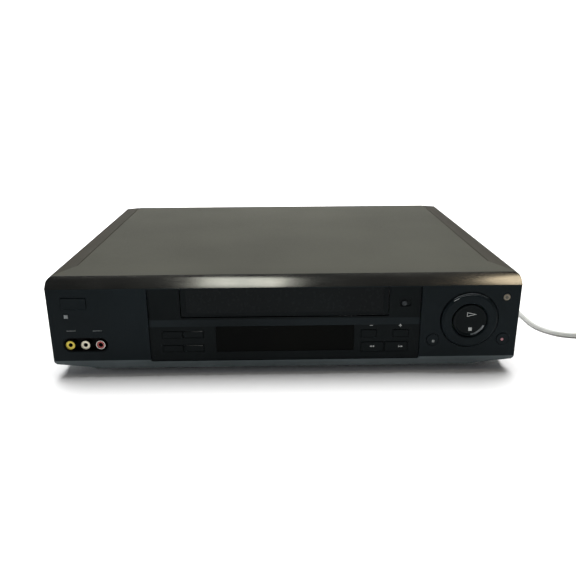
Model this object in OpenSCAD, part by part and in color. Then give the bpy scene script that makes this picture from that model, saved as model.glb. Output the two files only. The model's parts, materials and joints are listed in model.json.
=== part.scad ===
// Video cassette recorder with a centre slot, a shuttle ring and front sockets.
// Millimetres, +Z up. The front faces -Y and the feet stand on Z = 0.
// Depths written as "behind the face" are measured from the flat front face towards +Y.

/* [Case] */
// Width of the moulded front
case_w = 430; // [426:1:450]
// Depth from the front face to the cover's rear edge
case_d = 316; // [310:1:360]
// Height of the rubber feet
foot_h = 8; // [6:0.5:12]
// Radius of the rubber feet
foot_r = 9; // [6:0.5:12]
// Height of the front's lower lip, from its belly to the flat face
lip_h = 12; // [10:0.5:14]
// How far the belly of the lip hangs below the chassis
lip_drop = 3; // [1:0.5:4]
// Height of the flat front face
face_h = 69.5; // [69:0.5:80]
// Height of the slanted strip above the face
strip_h = 9.9; // [8:0.1:14]
// How far the slanted strip leans back
strip_back = 9.1; // [6:0.1:12]
// Rise of the cover's middle above its edges
crown = 1.4; // [0.6:0.1:2.4]
// How much narrower the cover is than the front, on each side
cover_inset = 2.4; // [1:0.1:4]
// Thickness of the steel sheet
sheet = 1; // [0.8:0.1:1.2]
// Wall thickness of the moulded front
wall = 2.6; // [2:0.1:3]
// Radius of the front's corners
corner_r = 5.5; // [3:0.5:8]

/* [Front bay] */
// Width of the recessed bay in the middle of the front
bay_w = 249; // [246:1:254]
// Height of the face below the bay
bay_drop = 1.7; // [1:0.1:3]
// How far the bay lies behind the face
bay_back = 2.5; // [1.5:0.1:3]
// Width of the cassette door
door_w = 190; // [189.5:0.5:192]
// Lower edge of the cassette door, above the face's lower edge
door_up = 40.7; // [40:0.1:42]
// Thickness of the cassette door
door_t = 2.4; // [2:0.1:3]
// Width of the display window
window_w = 127.5; // [110:0.5:130]
// Height of the display window
window_h = 25; // [20:0.5:25]
// Lower edge of the display window, above the face's lower edge
window_up = 7; // [6:0.1:8]

/* [Controls] */
// Travel of the push buttons
press = 0.8; // [0.4:0.1:1]
// Gap round each button
button_gap = 0.3; // [0.2:0.05:0.5]
// Radius of the shuttle ring
ring_r = 26; // [24:0.5:26.5]
// How far the shuttle ring stands out of the face
ring_proud = 2.5; // [1.5:0.1:4]
// Radius of the play and stop key inside the ring
key_r = 15.5; // [14:0.5:17]
// Radius of the round pause and record buttons
round_r = 5.6; // [4.5:0.1:6]
// Pitch of the phono sockets
jack_pitch = 13.8; // [13:0.1:14.5]
// Radius of a phono socket's metal sleeve
shell_r = 4.15; // [4.1:0.01:4.2]
// Wall of a phono socket's metal sleeve
shell_t = 0.45; // [0.3:0.05:0.6]
// Length of a phono socket's sleeve
shell_l = 9; // [8:0.5:10]

/* [Cassette] */
// Width of a cassette
tape_w = 188; // [186:0.5:188]
// Thickness of a cassette
tape_h = 25; // [24:0.5:25.2]
// Distance between the reel centres
reel_pitch = 93; // [92:0.5:94]
// How far the holder draws the cassette in
draw_in = 62; // [50:1:64]
// How far the holder lowers the cassette
draw_down = 30; // [26:1:30]

/* [Transport] */
// Radius of the head drum
drum_r = 31; // [30:0.5:31]
// Lean of the head drum, in degrees
drum_lean = 5; // [2:0.5:6]
// Radius of the cam gear's pitch circle
cam_r = 18; // [16:0.5:19]
// Turn of the cam gear from unthreaded to threaded, in degrees
cam_turn = 300; // [200:10:320]
// Travel of the tape guides along their slots
guide_travel = 46; // [30:1:50]

/* [Mains lead] */
// Diameter of the mains lead
cord_d = 5; // [4.5:0.1:5]
// Gap between neighbouring turns of the stored lead
turn_gap = 0.6; // [0.5:0.1:1]

/* [Hidden] */
$fn = 64;

// Clearances between pieces that don't touch, and between pieces that slide.
gap = 0.3;
slip = 0.05;
// How far a cut runs past the face that it opens.
past = 1;

// Places along Y: the ring and the rear sockets are the frontmost and rearmost points.
jack_proud = 8.5;
total_d = ring_proud + case_d + jack_proud;
face_y = ring_proud - total_d / 2;
rear_inset = 3;

// Heights above the floor.
lip_z = foot_h - lip_drop;
chin_z = lip_z + lip_h;
brow_z = chin_z + face_h;
top_z = brow_z + strip_h;
crown_z = top_z + crown;
cover_w = case_w - 2 * cover_inset;
floor_z = foot_h;
deck_z = floor_z + 16;

// Door, bay and window.
bay_z0 = chin_z - bay_drop;
door_z = chin_z + door_up;
hinge_z = brow_z + 0.7;
hinge_y = bay_back + 3.7;
hinge_r = 1.1;
ear_r = 2.1;
step_out = 1.2;
step_z = door_z - 2.2;
ledge_z = door_z - 8.5;
window_z = chin_z + window_up;
fascia_t = 2.4;

// Cassette holder, at rest behind the door, up and forward.
hold_side = (tape_w + 1.6) / 2;
hold_z = door_z - 0.3;
hold_y = 42;
hold_d = 76;
bracket_t = 1;
tape_room = tape_h + 0.7;

// Cords stand on this height above the floor.
lead_z = cord_d / 2 + 0.3;

// Shapes that several pieces use.

// Extrudes a side outline (Y, Z) across the width.
module across(w, x = 0) {
  translate([x, 0, 0]) rotate([90, 0, 90]) linear_extrude(w, center = true) children();
}

// Extrudes a front outline (X, Z) from depth y0 to y1 behind the face.
module deep(y0, y1) {
  translate([0, face_y + y1, 0]) rotate([90, 0, 0]) linear_extrude(y1 - y0) children();
}

// A round bar along Y from depth y0 to y1 behind the face.
module bar(x, z, r, y0, y1) {
  translate([x, face_y + y0, z]) rotate([-90, 0, 0]) cylinder(r = r, h = y1 - y0);
}

// A block from depth y0 to y1 behind the face.
module block(x0, x1, y0, y1, z0, z1) {
  translate([x0, face_y + y0, z0]) cube([x1 - x0, y1 - y0, z1 - z0]);
}

// The same block on the right and mirrored on the left.
module both_sides(x0, x1, y0, y1, z0, z1) {
  block(x0, x1, y0, y1, z0, z1);
  block(-x1, -x0, y0, y1, z0, z1);
}

// A rectangle with round corners, given by its low and high corners.
module soft_rect(x0, x1, z0, z1, r) {
  translate([x0 + r, z0]) square([x1 - x0 - 2 * r, z1 - z0]);
  translate([x0, z0 + r]) square([x1 - x0, z1 - z0 - 2 * r]);
  for (x = [x0 + r, x1 - r], z = [z0 + r, z1 - r]) translate([x, z]) circle(r);
}

// An upright cylinder whose foot is at (x, y behind the face, z).
module post(x, y, z, r, h) {
  translate([x, face_y + y, z]) cylinder(r = r, h = h);
}

// Front moulding

// The front seen from the front: round corners, and a belly between two short ramps.
belly_w = case_w - 88;
ramp = 12;
module front_outline(shrink = 0) {
  half = case_w / 2 - shrink;
  belly = belly_w / 2 - shrink;
  base = lip_z + shrink;
  difference() {
    union() {
      polygon([[-half, base + 8.5], [-belly - ramp, base + 4.5], [-belly, base + 1],
        [-belly + ramp, base], [belly - ramp, base], [belly, base + 1],
        [belly + ramp, base + 4.5], [half, base + 8.5], [half, top_z - corner_r - shrink],
        [half - corner_r, top_z - shrink], [corner_r - half, top_z - shrink],
        [-half, top_z - corner_r - shrink]]);
      for (s = [-1, 1]) translate([s * (half - corner_r), top_z - corner_r - shrink]) circle(corner_r);
    }
    for (s = [-1, 1]) translate([s * half, base + 8.5]) rotate(45) square(3, center = true);
  }
}

// The front seen from the side, from the lip up to the edge of the cover.
shelf_y = 16;
module side_outline(t = 0) {
  polygon([[face_y + 8 + t, lip_z + t], [face_y + 3 + t, lip_z + 2.5 + t], [face_y + t, chin_z],
    [face_y + t, brow_z], [face_y + strip_back + t, top_z - t],
    [face_y + shelf_y + past * t, top_z - t], [face_y + shelf_y + past * t, lip_z + t]]);
}

// The slanted strip, a thin skin set into the front above the face.
skin = 1;
strip_foot = 0.2;
strip_y1 = face_y + strip_back + skin;
module strip_side(cut = false) {
  foot_z = brow_z + strip_foot * strip_h / strip_back;
  outer = cut ? [[face_y - past, foot_z], [face_y - past, top_z + past], [strip_y1, top_z + past]]
    : [[face_y + strip_foot, foot_z], [face_y + strip_back, top_z], [strip_y1, top_z]];
  polygon(concat(outer, [[strip_y1, top_z - skin], [strip_y1 - 0.6 * skin, top_z - skin],
    [face_y + strip_foot + 1.2 * skin, foot_z]]));
}

module bay_outline(grow = 0) {
  soft_rect(-bay_w / 2 - grow, bay_w / 2 + grow, bay_z0 - grow, brow_z - 0.8 + grow, 1.5);
}

// Places of the controls on the side panels.
jack_z = chin_z + 16;
jack_x = -(case_w / 2 - 31.5);
jack_xs = [for (k = [-1:1]) jack_x + k * jack_pitch];
recess_r = 6.9;
// The ring stands midway between the two round buttons, which lie on a circle below it.
pause_x = bay_w / 2 + 12.3;
record_x = case_w / 2 - 13.1;
ring_x = (pause_x + record_x) / 2;
ring_z = chin_z + 36.4;
round_orbit = 37.8;
// Flange behind the ring, and shoulder behind each round button.
ring_flange = 2.2;
collar = 1.1;
preset_r = 3;
// How far one round control stands above another, from the distance and the sideways step.
function rise(distance, sideways) = sqrt(max(0, pow(distance, 2) - pow(sideways, 2)));
round_z = max(chin_z + round_r + 2, ring_z - rise(round_orbit, (record_x - pause_x) / 2));
preset_z = max(chin_z + 58,
  ring_z + rise(ring_r + ring_flange + preset_r + collar + gap, record_x - ring_x));
power_x = -(case_w / 2 - 24.5);
power_z = chin_z + 56.3;
power_w = 22.4;
power_h = 10.4;
remote_z = chin_z + 43.8;
remote_x = power_x - power_w / 2 + 3.1;
remote_s = 3.6;
well_deep = 5;

module front_bezel() {
  color("#1d2224") difference() {
    intersection() {
      across(case_w + 2 * past) side_outline();
      deep(-past, shelf_y + past) front_outline();
    }
    intersection() {
      across(case_w - 2 * wall) side_outline(wall);
      deep(0, shelf_y + 2 * past) front_outline(wall);
    }
    across(case_w + 2 * past) strip_side(cut = true);
    block(-case_w, case_w, strip_back + 1, shelf_y + past, top_z - sheet - gap, crown_z);
    deep(-past, shelf_y + past) bay_outline(0.2);
    // One long opening for the three front sockets.
    for (x = [jack_xs[0], jack_xs[2]]) bar(x, jack_z, recess_r, -past, wall + past);
    block(jack_xs[0], jack_xs[2], -past, wall + past, jack_z - recess_r, jack_z + recess_r);
    bar(ring_x, ring_z, ring_r + 1, -past, wall + past);
    for (x = [pause_x, record_x]) bar(x, round_z, round_r + button_gap, -past, wall + past);
    bar(record_x, preset_z, preset_r + button_gap, -past, wall + past);
    deep(-past, wall + past) soft_rect(power_x - power_w / 2 - button_gap, power_x + power_w / 2 + button_gap,
      power_z - power_h / 2 - button_gap, power_z + power_h / 2 + button_gap, 0.8);
    deep(-past, wall + past) soft_rect(remote_x - remote_s / 2 - 0.1, remote_x + remote_s / 2 + 0.1,
      remote_z - remote_s / 2 - 0.1, remote_z + remote_s / 2 + 0.1, 0.3);
    for (s = [-1, 1]) across(4, s * (door_w / 2 + 3))
      translate([face_y + hinge_y, hinge_z]) circle(ear_r + gap);
  }
}

module trim_strip() {
  color("#2c2a26") intersection() {
    across(case_w + 2 * past) strip_side();
    deep(-past, shelf_y) front_outline();
  }
}

// Bay plate: the door's level at the top, a sloping ledge, and a lower level further out.
eject_x = (bay_w + door_w) / 4 - 0.45;
eject_z = chin_z + 52.4;
eject_r = 2.4;
// The buttons beside the window share the room that their margins leave.
room = (bay_w - window_w) / 2;
key_gap = 1.2;
small_out = 11.5;
small_in = 11.65;
small_w = (room - small_out - key_gap - small_in) / 2;
small_xs = [for (k = [0, 1]) -bay_w / 2 + small_out + k * (small_w + key_gap)];
small_zs = [window_z + 0.5, window_z + 14.3];
small_h = 6.2;
wind_out = 10.7;
wind_in = 6.85;
wind_w = (room - wind_out - key_gap - wind_in) / 2;
chan_x = bay_w / 2 - wind_out - wind_w - key_gap / 2;
chan_w = wind_w * 2 / 3;
chan_gap = 2 * wind_w + key_gap + 0.4 - 2 * chan_w;
chan_z = window_z + 13;
chan_h = 7;
wind_z = window_z - 1.5;
wind_h = 9.3;
low_y = bay_back - step_out;

module fascia_side() {
  polygon([[face_y + low_y, bay_z0 + 0.2], [face_y + low_y, ledge_z], [face_y + bay_back, step_z],
    [face_y + bay_back, brow_z - 0.8], [face_y + bay_back + fascia_t, brow_z - 0.8],
    [face_y + bay_back + fascia_t, bay_z0 + 0.2]]);
}

module small_hole(x, z, w, h) {
  deep(-past, bay_back + fascia_t + past)
    soft_rect(x - button_gap, x + w + button_gap, z - button_gap, z + h + button_gap, 0.5);
}

module centre_fascia() {
  color("#171b1d") {
    difference() {
      intersection() {
        across(bay_w) fascia_side();
        deep(0, bay_back + fascia_t) bay_outline();
      }
      deep(-past, bay_back + fascia_t + past)
        soft_rect(-door_w / 2 - 0.5, door_w / 2 + 0.5, door_z - 0.5, brow_z + 2, 1.6);
      deep(-past, bay_back + fascia_t + past)
        soft_rect(-window_w / 2, window_w / 2, window_z, window_z + window_h, 0.6);
      bar(eject_x, eject_z, eject_r + button_gap, -past, bay_back + fascia_t + past);
      deep(-past, bay_back + 1.2) soft_rect(eject_x - 4.6, eject_x + 6.2, eject_z - 3, eject_z + 4.8, 2.4);
      for (x = small_xs, z = small_zs) small_hole(x, z, small_w, small_h);
      for (x = [chan_x - chan_gap / 2 - chan_w, chan_x + chan_gap / 2]) small_hole(x, chan_z, chan_w, chan_h);
      for (x = [chan_x - key_gap / 2 - wind_w, chan_x + key_gap / 2]) small_hole(x, wind_z, wind_w, wind_h);
    }
    // Ears behind the plate carry the door's pivots.
    for (s = [-1, 1]) across(2.4, s * (door_w / 2 + 3)) difference() {
      union() {
        translate([face_y + hinge_y, hinge_z]) circle(ear_r);
        translate([face_y + bay_back + fascia_t, hinge_z - 10])
          square([hinge_y + ear_r - bay_back - fascia_t, 10]);
      }
      translate([face_y + hinge_y, hinge_z]) circle(hinge_r + slip);
    }
  }
}

module display_window() {
  back = bay_back + fascia_t;
  color("#0b0c0c") {
    deep(low_y + 0.3, back + 1) soft_rect(-window_w / 2 + 0.1, window_w / 2 - 0.1, window_z + 0.1,
      window_z + window_h - 0.1, 0.5);
    deep(back, back + 1.2) soft_rect(-window_w / 2 - 2, window_w / 2 + 2, window_z - 2,
      window_z + window_h + 2, 0.8);
  }
}

// The door hangs from two pivots behind the top of its opening and swings inwards.
door_y = bay_back + 0.6;
module cassette_door() {
  color("#14181a") {
    difference() {
      deep(door_y, door_y + door_t) soft_rect(-door_w / 2, door_w / 2, door_z, hinge_z - 0.8, 1.2);
      // A bevelled border is sunk round the middle of the door.
      deep(door_y - past, door_y + 0.5) difference() {
        translate([-door_w / 2 - past, door_z - past])
          square([door_w + 2 * past, hinge_z - door_z + 2 * past]);
        soft_rect(-door_w / 2 + 5, door_w / 2 - 5, door_z + 3.4, hinge_z + 5, 0.8);
      }
    }
    for (s = [-1, 1]) {
      block(s * (door_w / 2 - 2) - 1.5, s * (door_w / 2 - 2) + 1.5, door_y + door_t, hinge_y + hinge_r,
        hinge_z - 5, hinge_z);
      across(9, s * (door_w / 2 + 0.5)) translate([face_y + hinge_y, hinge_z]) circle(hinge_r);
    }
  }
}

module display_tube() {
  color("#20302c") block(-window_w / 2 + 6, window_w / 2 - 6, bay_back + fascia_t + 1.5, board_y,
    window_z + 2, window_z + window_h - 2);
}

// Upright boards behind the controls: left, middle and right.
board_y = 13;
board_t = 1.6;
inner_w = case_w - 2 * wall - 4;
module control_boards() {
  color("#3c5a34") {
    // Two ears hold the rod that the play and stop key rocks on.
    for (s = [-1, 1]) across(1.6, ring_x + s * 5.5) difference() {
      translate([face_y + rock_y - 2, ring_z - 2]) square([board_y - rock_y + 2, 4]);
      translate([face_y + rock_y, ring_z]) circle(rock_r + slip);
    }
    block(-inner_w / 2, -bay_w / 2 - 6, board_y, board_y + board_t, chin_z + 6, brow_z - 4);
    block(-bay_w / 2 + 4, bay_w / 2 - 4, board_y, board_y + board_t, chin_z + 2, door_z - 6);
    block(eject_x - 7, bay_w / 2 - 4, board_y, board_y + board_t, door_z - 6, brow_z - 4);
    block(bay_w / 2 + 6, inner_w / 2, board_y, board_y + board_t, chin_z + 6, brow_z - 4);
  }
}

// Controls

// A push button: a cap through the front, a shoulder behind it and a stem to its switch.
switch_h = 4.4;
stem_end = board_y - switch_h - press - 0.2;
stem_r = 1.4;
module button(x, z, w, h, front, back, hue) {
  color(hue) {
    deep(front, back + gap + 0.8) soft_rect(x - w / 2, x + w / 2, z - h / 2, z + h / 2, 0.6);
    block(x - w / 2, x + w / 2, back + gap, back + gap + 1, z - h / 2 - collar, z + h / 2 + collar);
    bar(x, z, stem_r, back + gap + 0.5, stem_end);
  }
}

module round_button(x, z, r, front, back, hue) {
  color(hue) {
    bar(x, z, r, front, back + gap + 1);
    bar(x, z, r + collar, back + gap, back + gap + 1);
    bar(x, z, stem_r, back + gap + 0.5, stem_end);
  }
}

bay_rear = bay_back + fascia_t;
key_front = low_y - 0.4;
small_cx = [for (x = small_xs) x + small_w / 2];
small_cz = [for (z = small_zs) z + small_h / 2];
chan_cx = [for (s = [-1, 1]) chan_x + s * (chan_gap + chan_w) / 2];
wind_cx = [for (s = [-1, 1]) chan_x + s * (wind_w + key_gap) / 2];
chan_cz = chan_z + chan_h / 2;
wind_cz = wind_z + wind_h / 2;
black = "#191d1f";

module power_button() { button(power_x, power_z, power_w, power_h, -0.6, wall, black); }
module setup_button() { button(small_cx[0], small_cz[1], small_w, small_h, key_front, bay_rear, black); }
module source_button() { button(small_cx[1], small_cz[1], small_w, small_h, key_front, bay_rear, black); }
module input_button() { button(small_cx[0], small_cz[0], small_w, small_h, key_front, bay_rear, black); }
module clock_button() { button(small_cx[1], small_cz[0], small_w, small_h, key_front, bay_rear, black); }
module eject_button() { round_button(eject_x, eject_z, eject_r, bay_back - 0.6, bay_rear, "#6b6f72"); }
module channel_down_button() { button(chan_cx[0], chan_cz, chan_w, chan_h, key_front, bay_rear, black); }
module channel_up_button() { button(chan_cx[1], chan_cz, chan_w, chan_h, key_front, bay_rear, black); }
module rewind_button() { button(wind_cx[0], wind_cz, wind_w, wind_h, key_front, bay_rear, black); }
module forward_button() { button(wind_cx[1], wind_cz, wind_w, wind_h, key_front, bay_rear, black); }
module pause_button() { round_button(pause_x, round_z, round_r, -0.5, wall, black); }
module record_button() { round_button(record_x, round_z, round_r, -0.5, wall, black); }
module preset_button() { round_button(record_x, preset_z, preset_r, -0.3, wall, "#7d7462"); }

// The shuttle ring turns in a round hole, held by a flange behind the front.
ring_bore = key_r + 0.8;
module shuttle_ring() {
  color("#202528") translate([ring_x, face_y, ring_z]) rotate([90, 0, 0]) rotate_extrude($fn = 96)
    polygon([[ring_bore, -6.4], [ring_bore, ring_proud - 1], [ring_bore + 1, ring_proud],
      [ring_r - 2, ring_proud], [ring_r, ring_proud - 1.6], [ring_r, -wall - gap],
      [ring_r + ring_flange, -wall - gap], [ring_r + ring_flange, -wall - gap - 1.2],
      [ring_r - 3, -wall - gap - 1.2],
      [ring_r - 3, -6.4]]);
}

// The play and stop key rocks on a rod across its back.
rock_y = 7.5;
rock_r = 1;
module play_stop_key() {
  color("#15191b") {
    translate([ring_x, face_y, ring_z]) rotate([90, 0, 0]) rotate_extrude($fn = 96)
      polygon([[0, -1.6], [0, 1.2], [key_r - 2.5, 1.6], [key_r - 0.8, ring_proud - 0.2],
        [key_r, ring_proud - 0.8], [key_r, -1.6]]);
    block(ring_x - 3, ring_x + 3, 1, rock_y + rock_r, ring_z - 1.5, ring_z + 1.5);
    across(14, ring_x) translate([face_y + rock_y, ring_z]) circle(rock_r);
    for (s = [-1, 1]) bar(ring_x, ring_z + s * 9, stem_r, 1, stem_end);
  }
}

// Each switch stands on a board, with its plunger just beyond the button's travel.
switch_s = 6;
module tact_switch(x, z) {
  block(x - switch_s / 2, x + switch_s / 2, board_y - 3.4, board_y, z - switch_s / 2, z + switch_s / 2);
  bar(x, z, 1.7, board_y - switch_h, board_y - 3);
}

module tact_switches() {
  color("#8a8d8f") {
    tact_switch(power_x, power_z);
    for (x = small_cx, z = small_cz) tact_switch(x, z);
    tact_switch(eject_x, eject_z);
    for (x = chan_cx) tact_switch(x, chan_cz);
    for (x = wind_cx) tact_switch(x, wind_cz);
    for (x = [pause_x, record_x]) tact_switch(x, round_z);
    tact_switch(record_x, preset_z);
    for (s = [-1, 1]) tact_switch(ring_x, ring_z + s * 9);
  }
}

module remote_window() {
  color("#b9bcbc") {
    block(remote_x - remote_s / 2, remote_x + remote_s / 2, -0.1, board_y, remote_z - remote_s / 2,
      remote_z + remote_s / 2);
  }
}

// Phono sockets: a coloured core inside a metal sleeve. The front ones have a body on the board.
core_r = shell_r - shell_t;
pin_r = 1.6;
jack_body = 6.5;
shell_y = -0.6;
module phono_core(x, hue) {
  color(hue) difference() {
    union() {
      bar(x, jack_z, core_r, shell_y + 0.4, shell_y + shell_l + 0.5);
      block(x - jack_pitch / 2 + gap, x + jack_pitch / 2 - gap, shell_y + shell_l, board_y,
        jack_z - jack_body, jack_z + jack_body);
    }
    bar(x, jack_z, pin_r, shell_y - past, shell_y + shell_l - 1);
  }
}

module yellow_jack() { phono_core(jack_xs[0], "#e0b52a"); }
module white_jack() { phono_core(jack_xs[1], "#d8d2bc"); }
module red_jack() { phono_core(jack_xs[2], "#9c2f2c"); }

// Rear sockets: two rows of three on a black block.
rear_xs = [for (k = [0:2]) -case_w / 2 + 150 + k * (jack_pitch + 1)];
rear_zs = [floor_z + 20, floor_z + 38];
module sleeve(x, z, y0) {
  difference() {
    bar(x, z, shell_r, y0, y0 + shell_l);
    bar(x, z, core_r + slip, y0 - past, y0 + shell_l + past);
  }
}

rear_shell_y = case_d + jack_proud - shell_l;
jack_block_d = 13.7;
module jack_shells() {
  color("#b8b8b4") {
    for (x = jack_xs) sleeve(x, jack_z, shell_y);
    for (x = rear_xs, z = rear_zs) sleeve(x, z, rear_shell_y);
  }
}

module rear_jack_block() {
  x0 = rear_xs[0] - jack_pitch / 2 - 1;
  x1 = rear_xs[2] + jack_pitch / 2 + 1;
  y1 = case_d - rear_inset - gap;
  color("#1a1a1a") difference() {
    union() {
      block(x0, x1, y1 - jack_block_d, y1, parts_z, rear_zs[1] + 9);
      for (x = rear_xs, z = rear_zs) {
        bar(x, z, core_r, case_d - rear_inset - 1, case_d + jack_proud - 0.4);
        bar(x, z, shell_r + 1, case_d - rear_inset - 1, rear_shell_y);
      }
    }
    for (x = rear_xs, z = rear_zs) bar(x, z, pin_r, rear_shell_y - 4, case_d + jack_proud + past);
  }
}

// Case

tray_w = cover_w - 2 * sheet - 2 * gap;
tray_side = 14;
foot_xs = [-case_w / 2 + 40, case_w / 2 - 40];
foot_ys = [45, case_d - 36];
vent_w = 3;
vent_y = case_d - 130;
module bottom_chassis() {
  y1 = case_d - rear_inset;
  color("#9a9c9c") {
    difference() {
      union() {
        block(-tray_w / 2, tray_w / 2, shelf_y + gap, y1, floor_z, floor_z + sheet);
        // A tongue reaches forward over the front's lip.
        block(-belly_w / 2 + ramp + 2, belly_w / 2 - ramp - 2, shelf_y - 6, shelf_y + 1,
          floor_z, floor_z + sheet);
      }
      for (k = [0:11]) block(-case_w / 2 + 70, -case_w / 2 + 110, vent_y + 8 * k, vent_y + 8 * k + vent_w,
        floor_z - past, floor_z + sheet + past);
    }
    both_sides(tray_w / 2 - sheet, tray_w / 2, shelf_y + gap, y1, floor_z, floor_z + tray_side);
  }
}

// The cover: a shallow roof whose front and sides slope down from a flat middle.
roof_side = cover_w / 2 - 17.3;
roof_front = 39;
cover_y = strip_back + 1 + gap;
fold = 1;
module cover_front_view(t) {
  w = cover_w / 2 - t;
  polygon([[-w, 0], [-w, top_z - fold - t], [-w + fold, top_z - t], [-roof_side, crown_z - t],
    [roof_side, crown_z - t], [w - fold, top_z - t], [w, top_z - fold - t], [w, 0]]);
}

module cover_side_view(t, y0, y1) {
  polygon([[face_y + y0, 0], [face_y + y0, top_z - t], [face_y + roof_front, crown_z - t],
    [face_y + y1, crown_z - t], [face_y + y1, 0]]);
}

groove_w = 1.2;
module top_cover() {
  color("#5c5c55") difference() {
    intersection() {
      deep(cover_y, case_d) cover_front_view(0);
      across(cover_w + past) cover_side_view(0, cover_y, case_d);
    }
    intersection() {
      deep(0, case_d + past) cover_front_view(sheet);
      across(cover_w) cover_side_view(sheet, 0, case_d + past);
    }
    block(-case_w, case_w, 0, shelf_y + gap, -past, top_z - sheet - 0.1);
    block(-case_w, case_w, 0, case_d + past, -past, floor_z);
    for (s = [-1, 1]) block(s * roof_side - groove_w / 2, s * roof_side + groove_w / 2, roof_front,
      case_d + past, crown_z - sheet / 2, crown_z + past);
  }
}

// Rear panel, with holes for the sockets, the aerial connectors and the mains lead.
aerial_x = -case_w / 2 + 50;
aerial_zs = [floor_z + 22, floor_z + 46];
aerial_r = 4.7;
lead_x = case_w / 2 - 32;
lead_hole_z = floor_z + 22;
module rear_panel() {
  y0 = case_d - rear_inset;
  color("#2a2a29") difference() {
    union() {
      deep(y0, y0 + sheet) cover_front_view(sheet + gap);
      block(-tray_w / 2 + sheet + gap, tray_w / 2 - sheet - gap, y0 - 8, y0 + sheet, floor_z + sheet,
        floor_z + 2 * sheet);
    }
    block(-case_w, case_w, y0 - past, y0 + 2 * sheet, -past, floor_z);
    for (x = rear_xs, z = rear_zs) bar(x, z, shell_r + 1 + gap, y0 - past, y0 + 2 * sheet);
    for (z = aerial_zs) bar(aerial_x, z, aerial_r + 2.5, y0 - past, y0 + 2 * sheet);
    bar(lead_x, lead_hole_z, relief_r + 0.1, y0 - past, y0 + 2 * sheet);
    for (k = [0:9]) deep(y0 - past, y0 + 2 * sheet)
      soft_rect(lead_x - 110 + 7 * k, lead_x - 107 + 7 * k, floor_z + 34, top_z - 14, 1.4);
  }
}

module feet() {
  color("#1b1b1b") for (x = foot_xs, y = foot_ys) {
    post(x, y, 0.6, foot_r, foot_h - 0.6);
    post(x, y, 0, foot_r - 0.8, 0.7);
  }
}

// Cover screws: two on each side and three along the rear edge.
screw_r = 3.2;
screw_ys = [70, case_d - 60];
screw_z = floor_z + tray_side / 2;
rear_screw_xs = [-cover_w / 2 + 22, 0, cover_w / 2 - 80];
module cover_screws() {
  color("#3a3a38") {
    for (s = [-1, 1], y = screw_ys) translate([s * cover_w / 2, face_y + y, screw_z]) rotate([0, s * 90, 0]) {
      difference() {
        cylinder(r = screw_r, h = 1.8);
        translate([0, 0, 1.4]) cube([4, 0.9, 2], center = true);
        translate([0, 0, 1.4]) cube([0.9, 4, 2], center = true);
      }
    }
    for (x = rear_screw_xs) difference() {
      bar(x, top_z - 8, screw_r, case_d - rear_inset + sheet, case_d - rear_inset + sheet + 1.8);
      block(x - 2, x + 2, case_d - rear_inset + sheet + 1, case_d, top_z - 8.45, top_z - 7.55);
      block(x - 0.45, x + 0.45, case_d - rear_inset + sheet + 1, case_d, top_z - 10, top_z - 6);
    }
  }
}

// Boards and their larger parts
main_z = floor_z + 6;
mech_w = 200;
mech_y0 = 36;
mech_y1 = 258;
// The boards keep this far from the middle, and their parts stand on this height.
aisle = mech_w / 2 + 12;
parts_z = main_z + board_t;
board_y0 = 24;
board_y1 = case_d - rear_inset - 5;
fins = 7;
fin_pitch = 6;
fin_t = 1.5;
sink_y = [120, 150];
sink_h = 32;
chip = [40, 14, 4];
chip_ys = [60, 110, 170];
can_pitch = 11;
module main_board() {
  half = tray_w / 2 - sheet - 1;
  sink_x = aisle + 12;
  color("#4a6a3c") {
    both_sides(aisle, half, board_y0, board_y1, main_z, parts_z);
    block(-half, half, mech_y1 + 6, board_y1, main_z, parts_z);
    // Boards stand on posts near their edges.
    for (x = [-half + 6, half - 6, -aisle - 8, aisle + 8], y = [board_y0 + 8, case_d / 2, board_y1 - 12])
      post(x, y, floor_z + sheet, 2.5, main_z - floor_z - sheet);
    // Heat sink with fins, large chips, and capacitors of growing height.
    for (k = [0:fins - 1]) block(sink_x + fin_pitch * k, sink_x + fin_pitch * k + fin_t, sink_y[0], sink_y[1],
      parts_z, main_z + sink_h);
    block(sink_x, sink_x + fin_pitch * (fins - 1) + fin_t, sink_y[1], sink_y[1] + 2 * fin_t,
      parts_z, main_z + sink_h + 2);
    for (y = chip_ys) block(-aisle - 18 - chip[0], -aisle - 18, y, y + chip[1], parts_z, parts_z + chip[2]);
    for (k = [0:4]) post(aisle + 22 + can_pitch * k, chip_ys[0], parts_z, 5, 14 + 2 * k);
    for (k = [0:5]) post(-aisle - 18 - 10 * k, case_d - 101, parts_z, 3.2, 10);
  }
}

// The transformer: a wide foot, the windings, and the core round them.
core_w = 50;
core_d = 18;
core_h = 46;
winding_w = 38;
foot_d = 44;
module transformer() {
  x = case_w / 2 - 59;
  y = case_d - 60;
  color("#8d8478") {
    block(x - core_w / 2, x + core_w / 2, y - foot_d / 2, y + foot_d / 2, parts_z, parts_z + 6);
    block(x - winding_w / 2, x + winding_w / 2, y - winding_w / 2, y + winding_w / 2,
      parts_z + 6, parts_z + core_h - 6);
    block(x - core_w / 2, x + core_w / 2, y - core_d / 2, y + core_d / 2, parts_z + 4, parts_z + core_h);
  }
}

tuner_w = 30;
tuner_d = 70;
aerial_bore = 3.2;
module tuner_box() {
  y1 = case_d - rear_inset - gap;
  color("#b2b4b4") difference() {
    union() {
      block(aerial_x - tuner_w / 2, aerial_x + tuner_w / 2, y1 - tuner_d, y1, parts_z, aerial_zs[1] + 14);
      for (z = aerial_zs) bar(aerial_x, z, aerial_r, y1 - 1, case_d + jack_proud);
    }
    for (z = aerial_zs) bar(aerial_x, z, aerial_bore, case_d, case_d + jack_proud + past);
  }
}

// Tape transport

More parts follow.
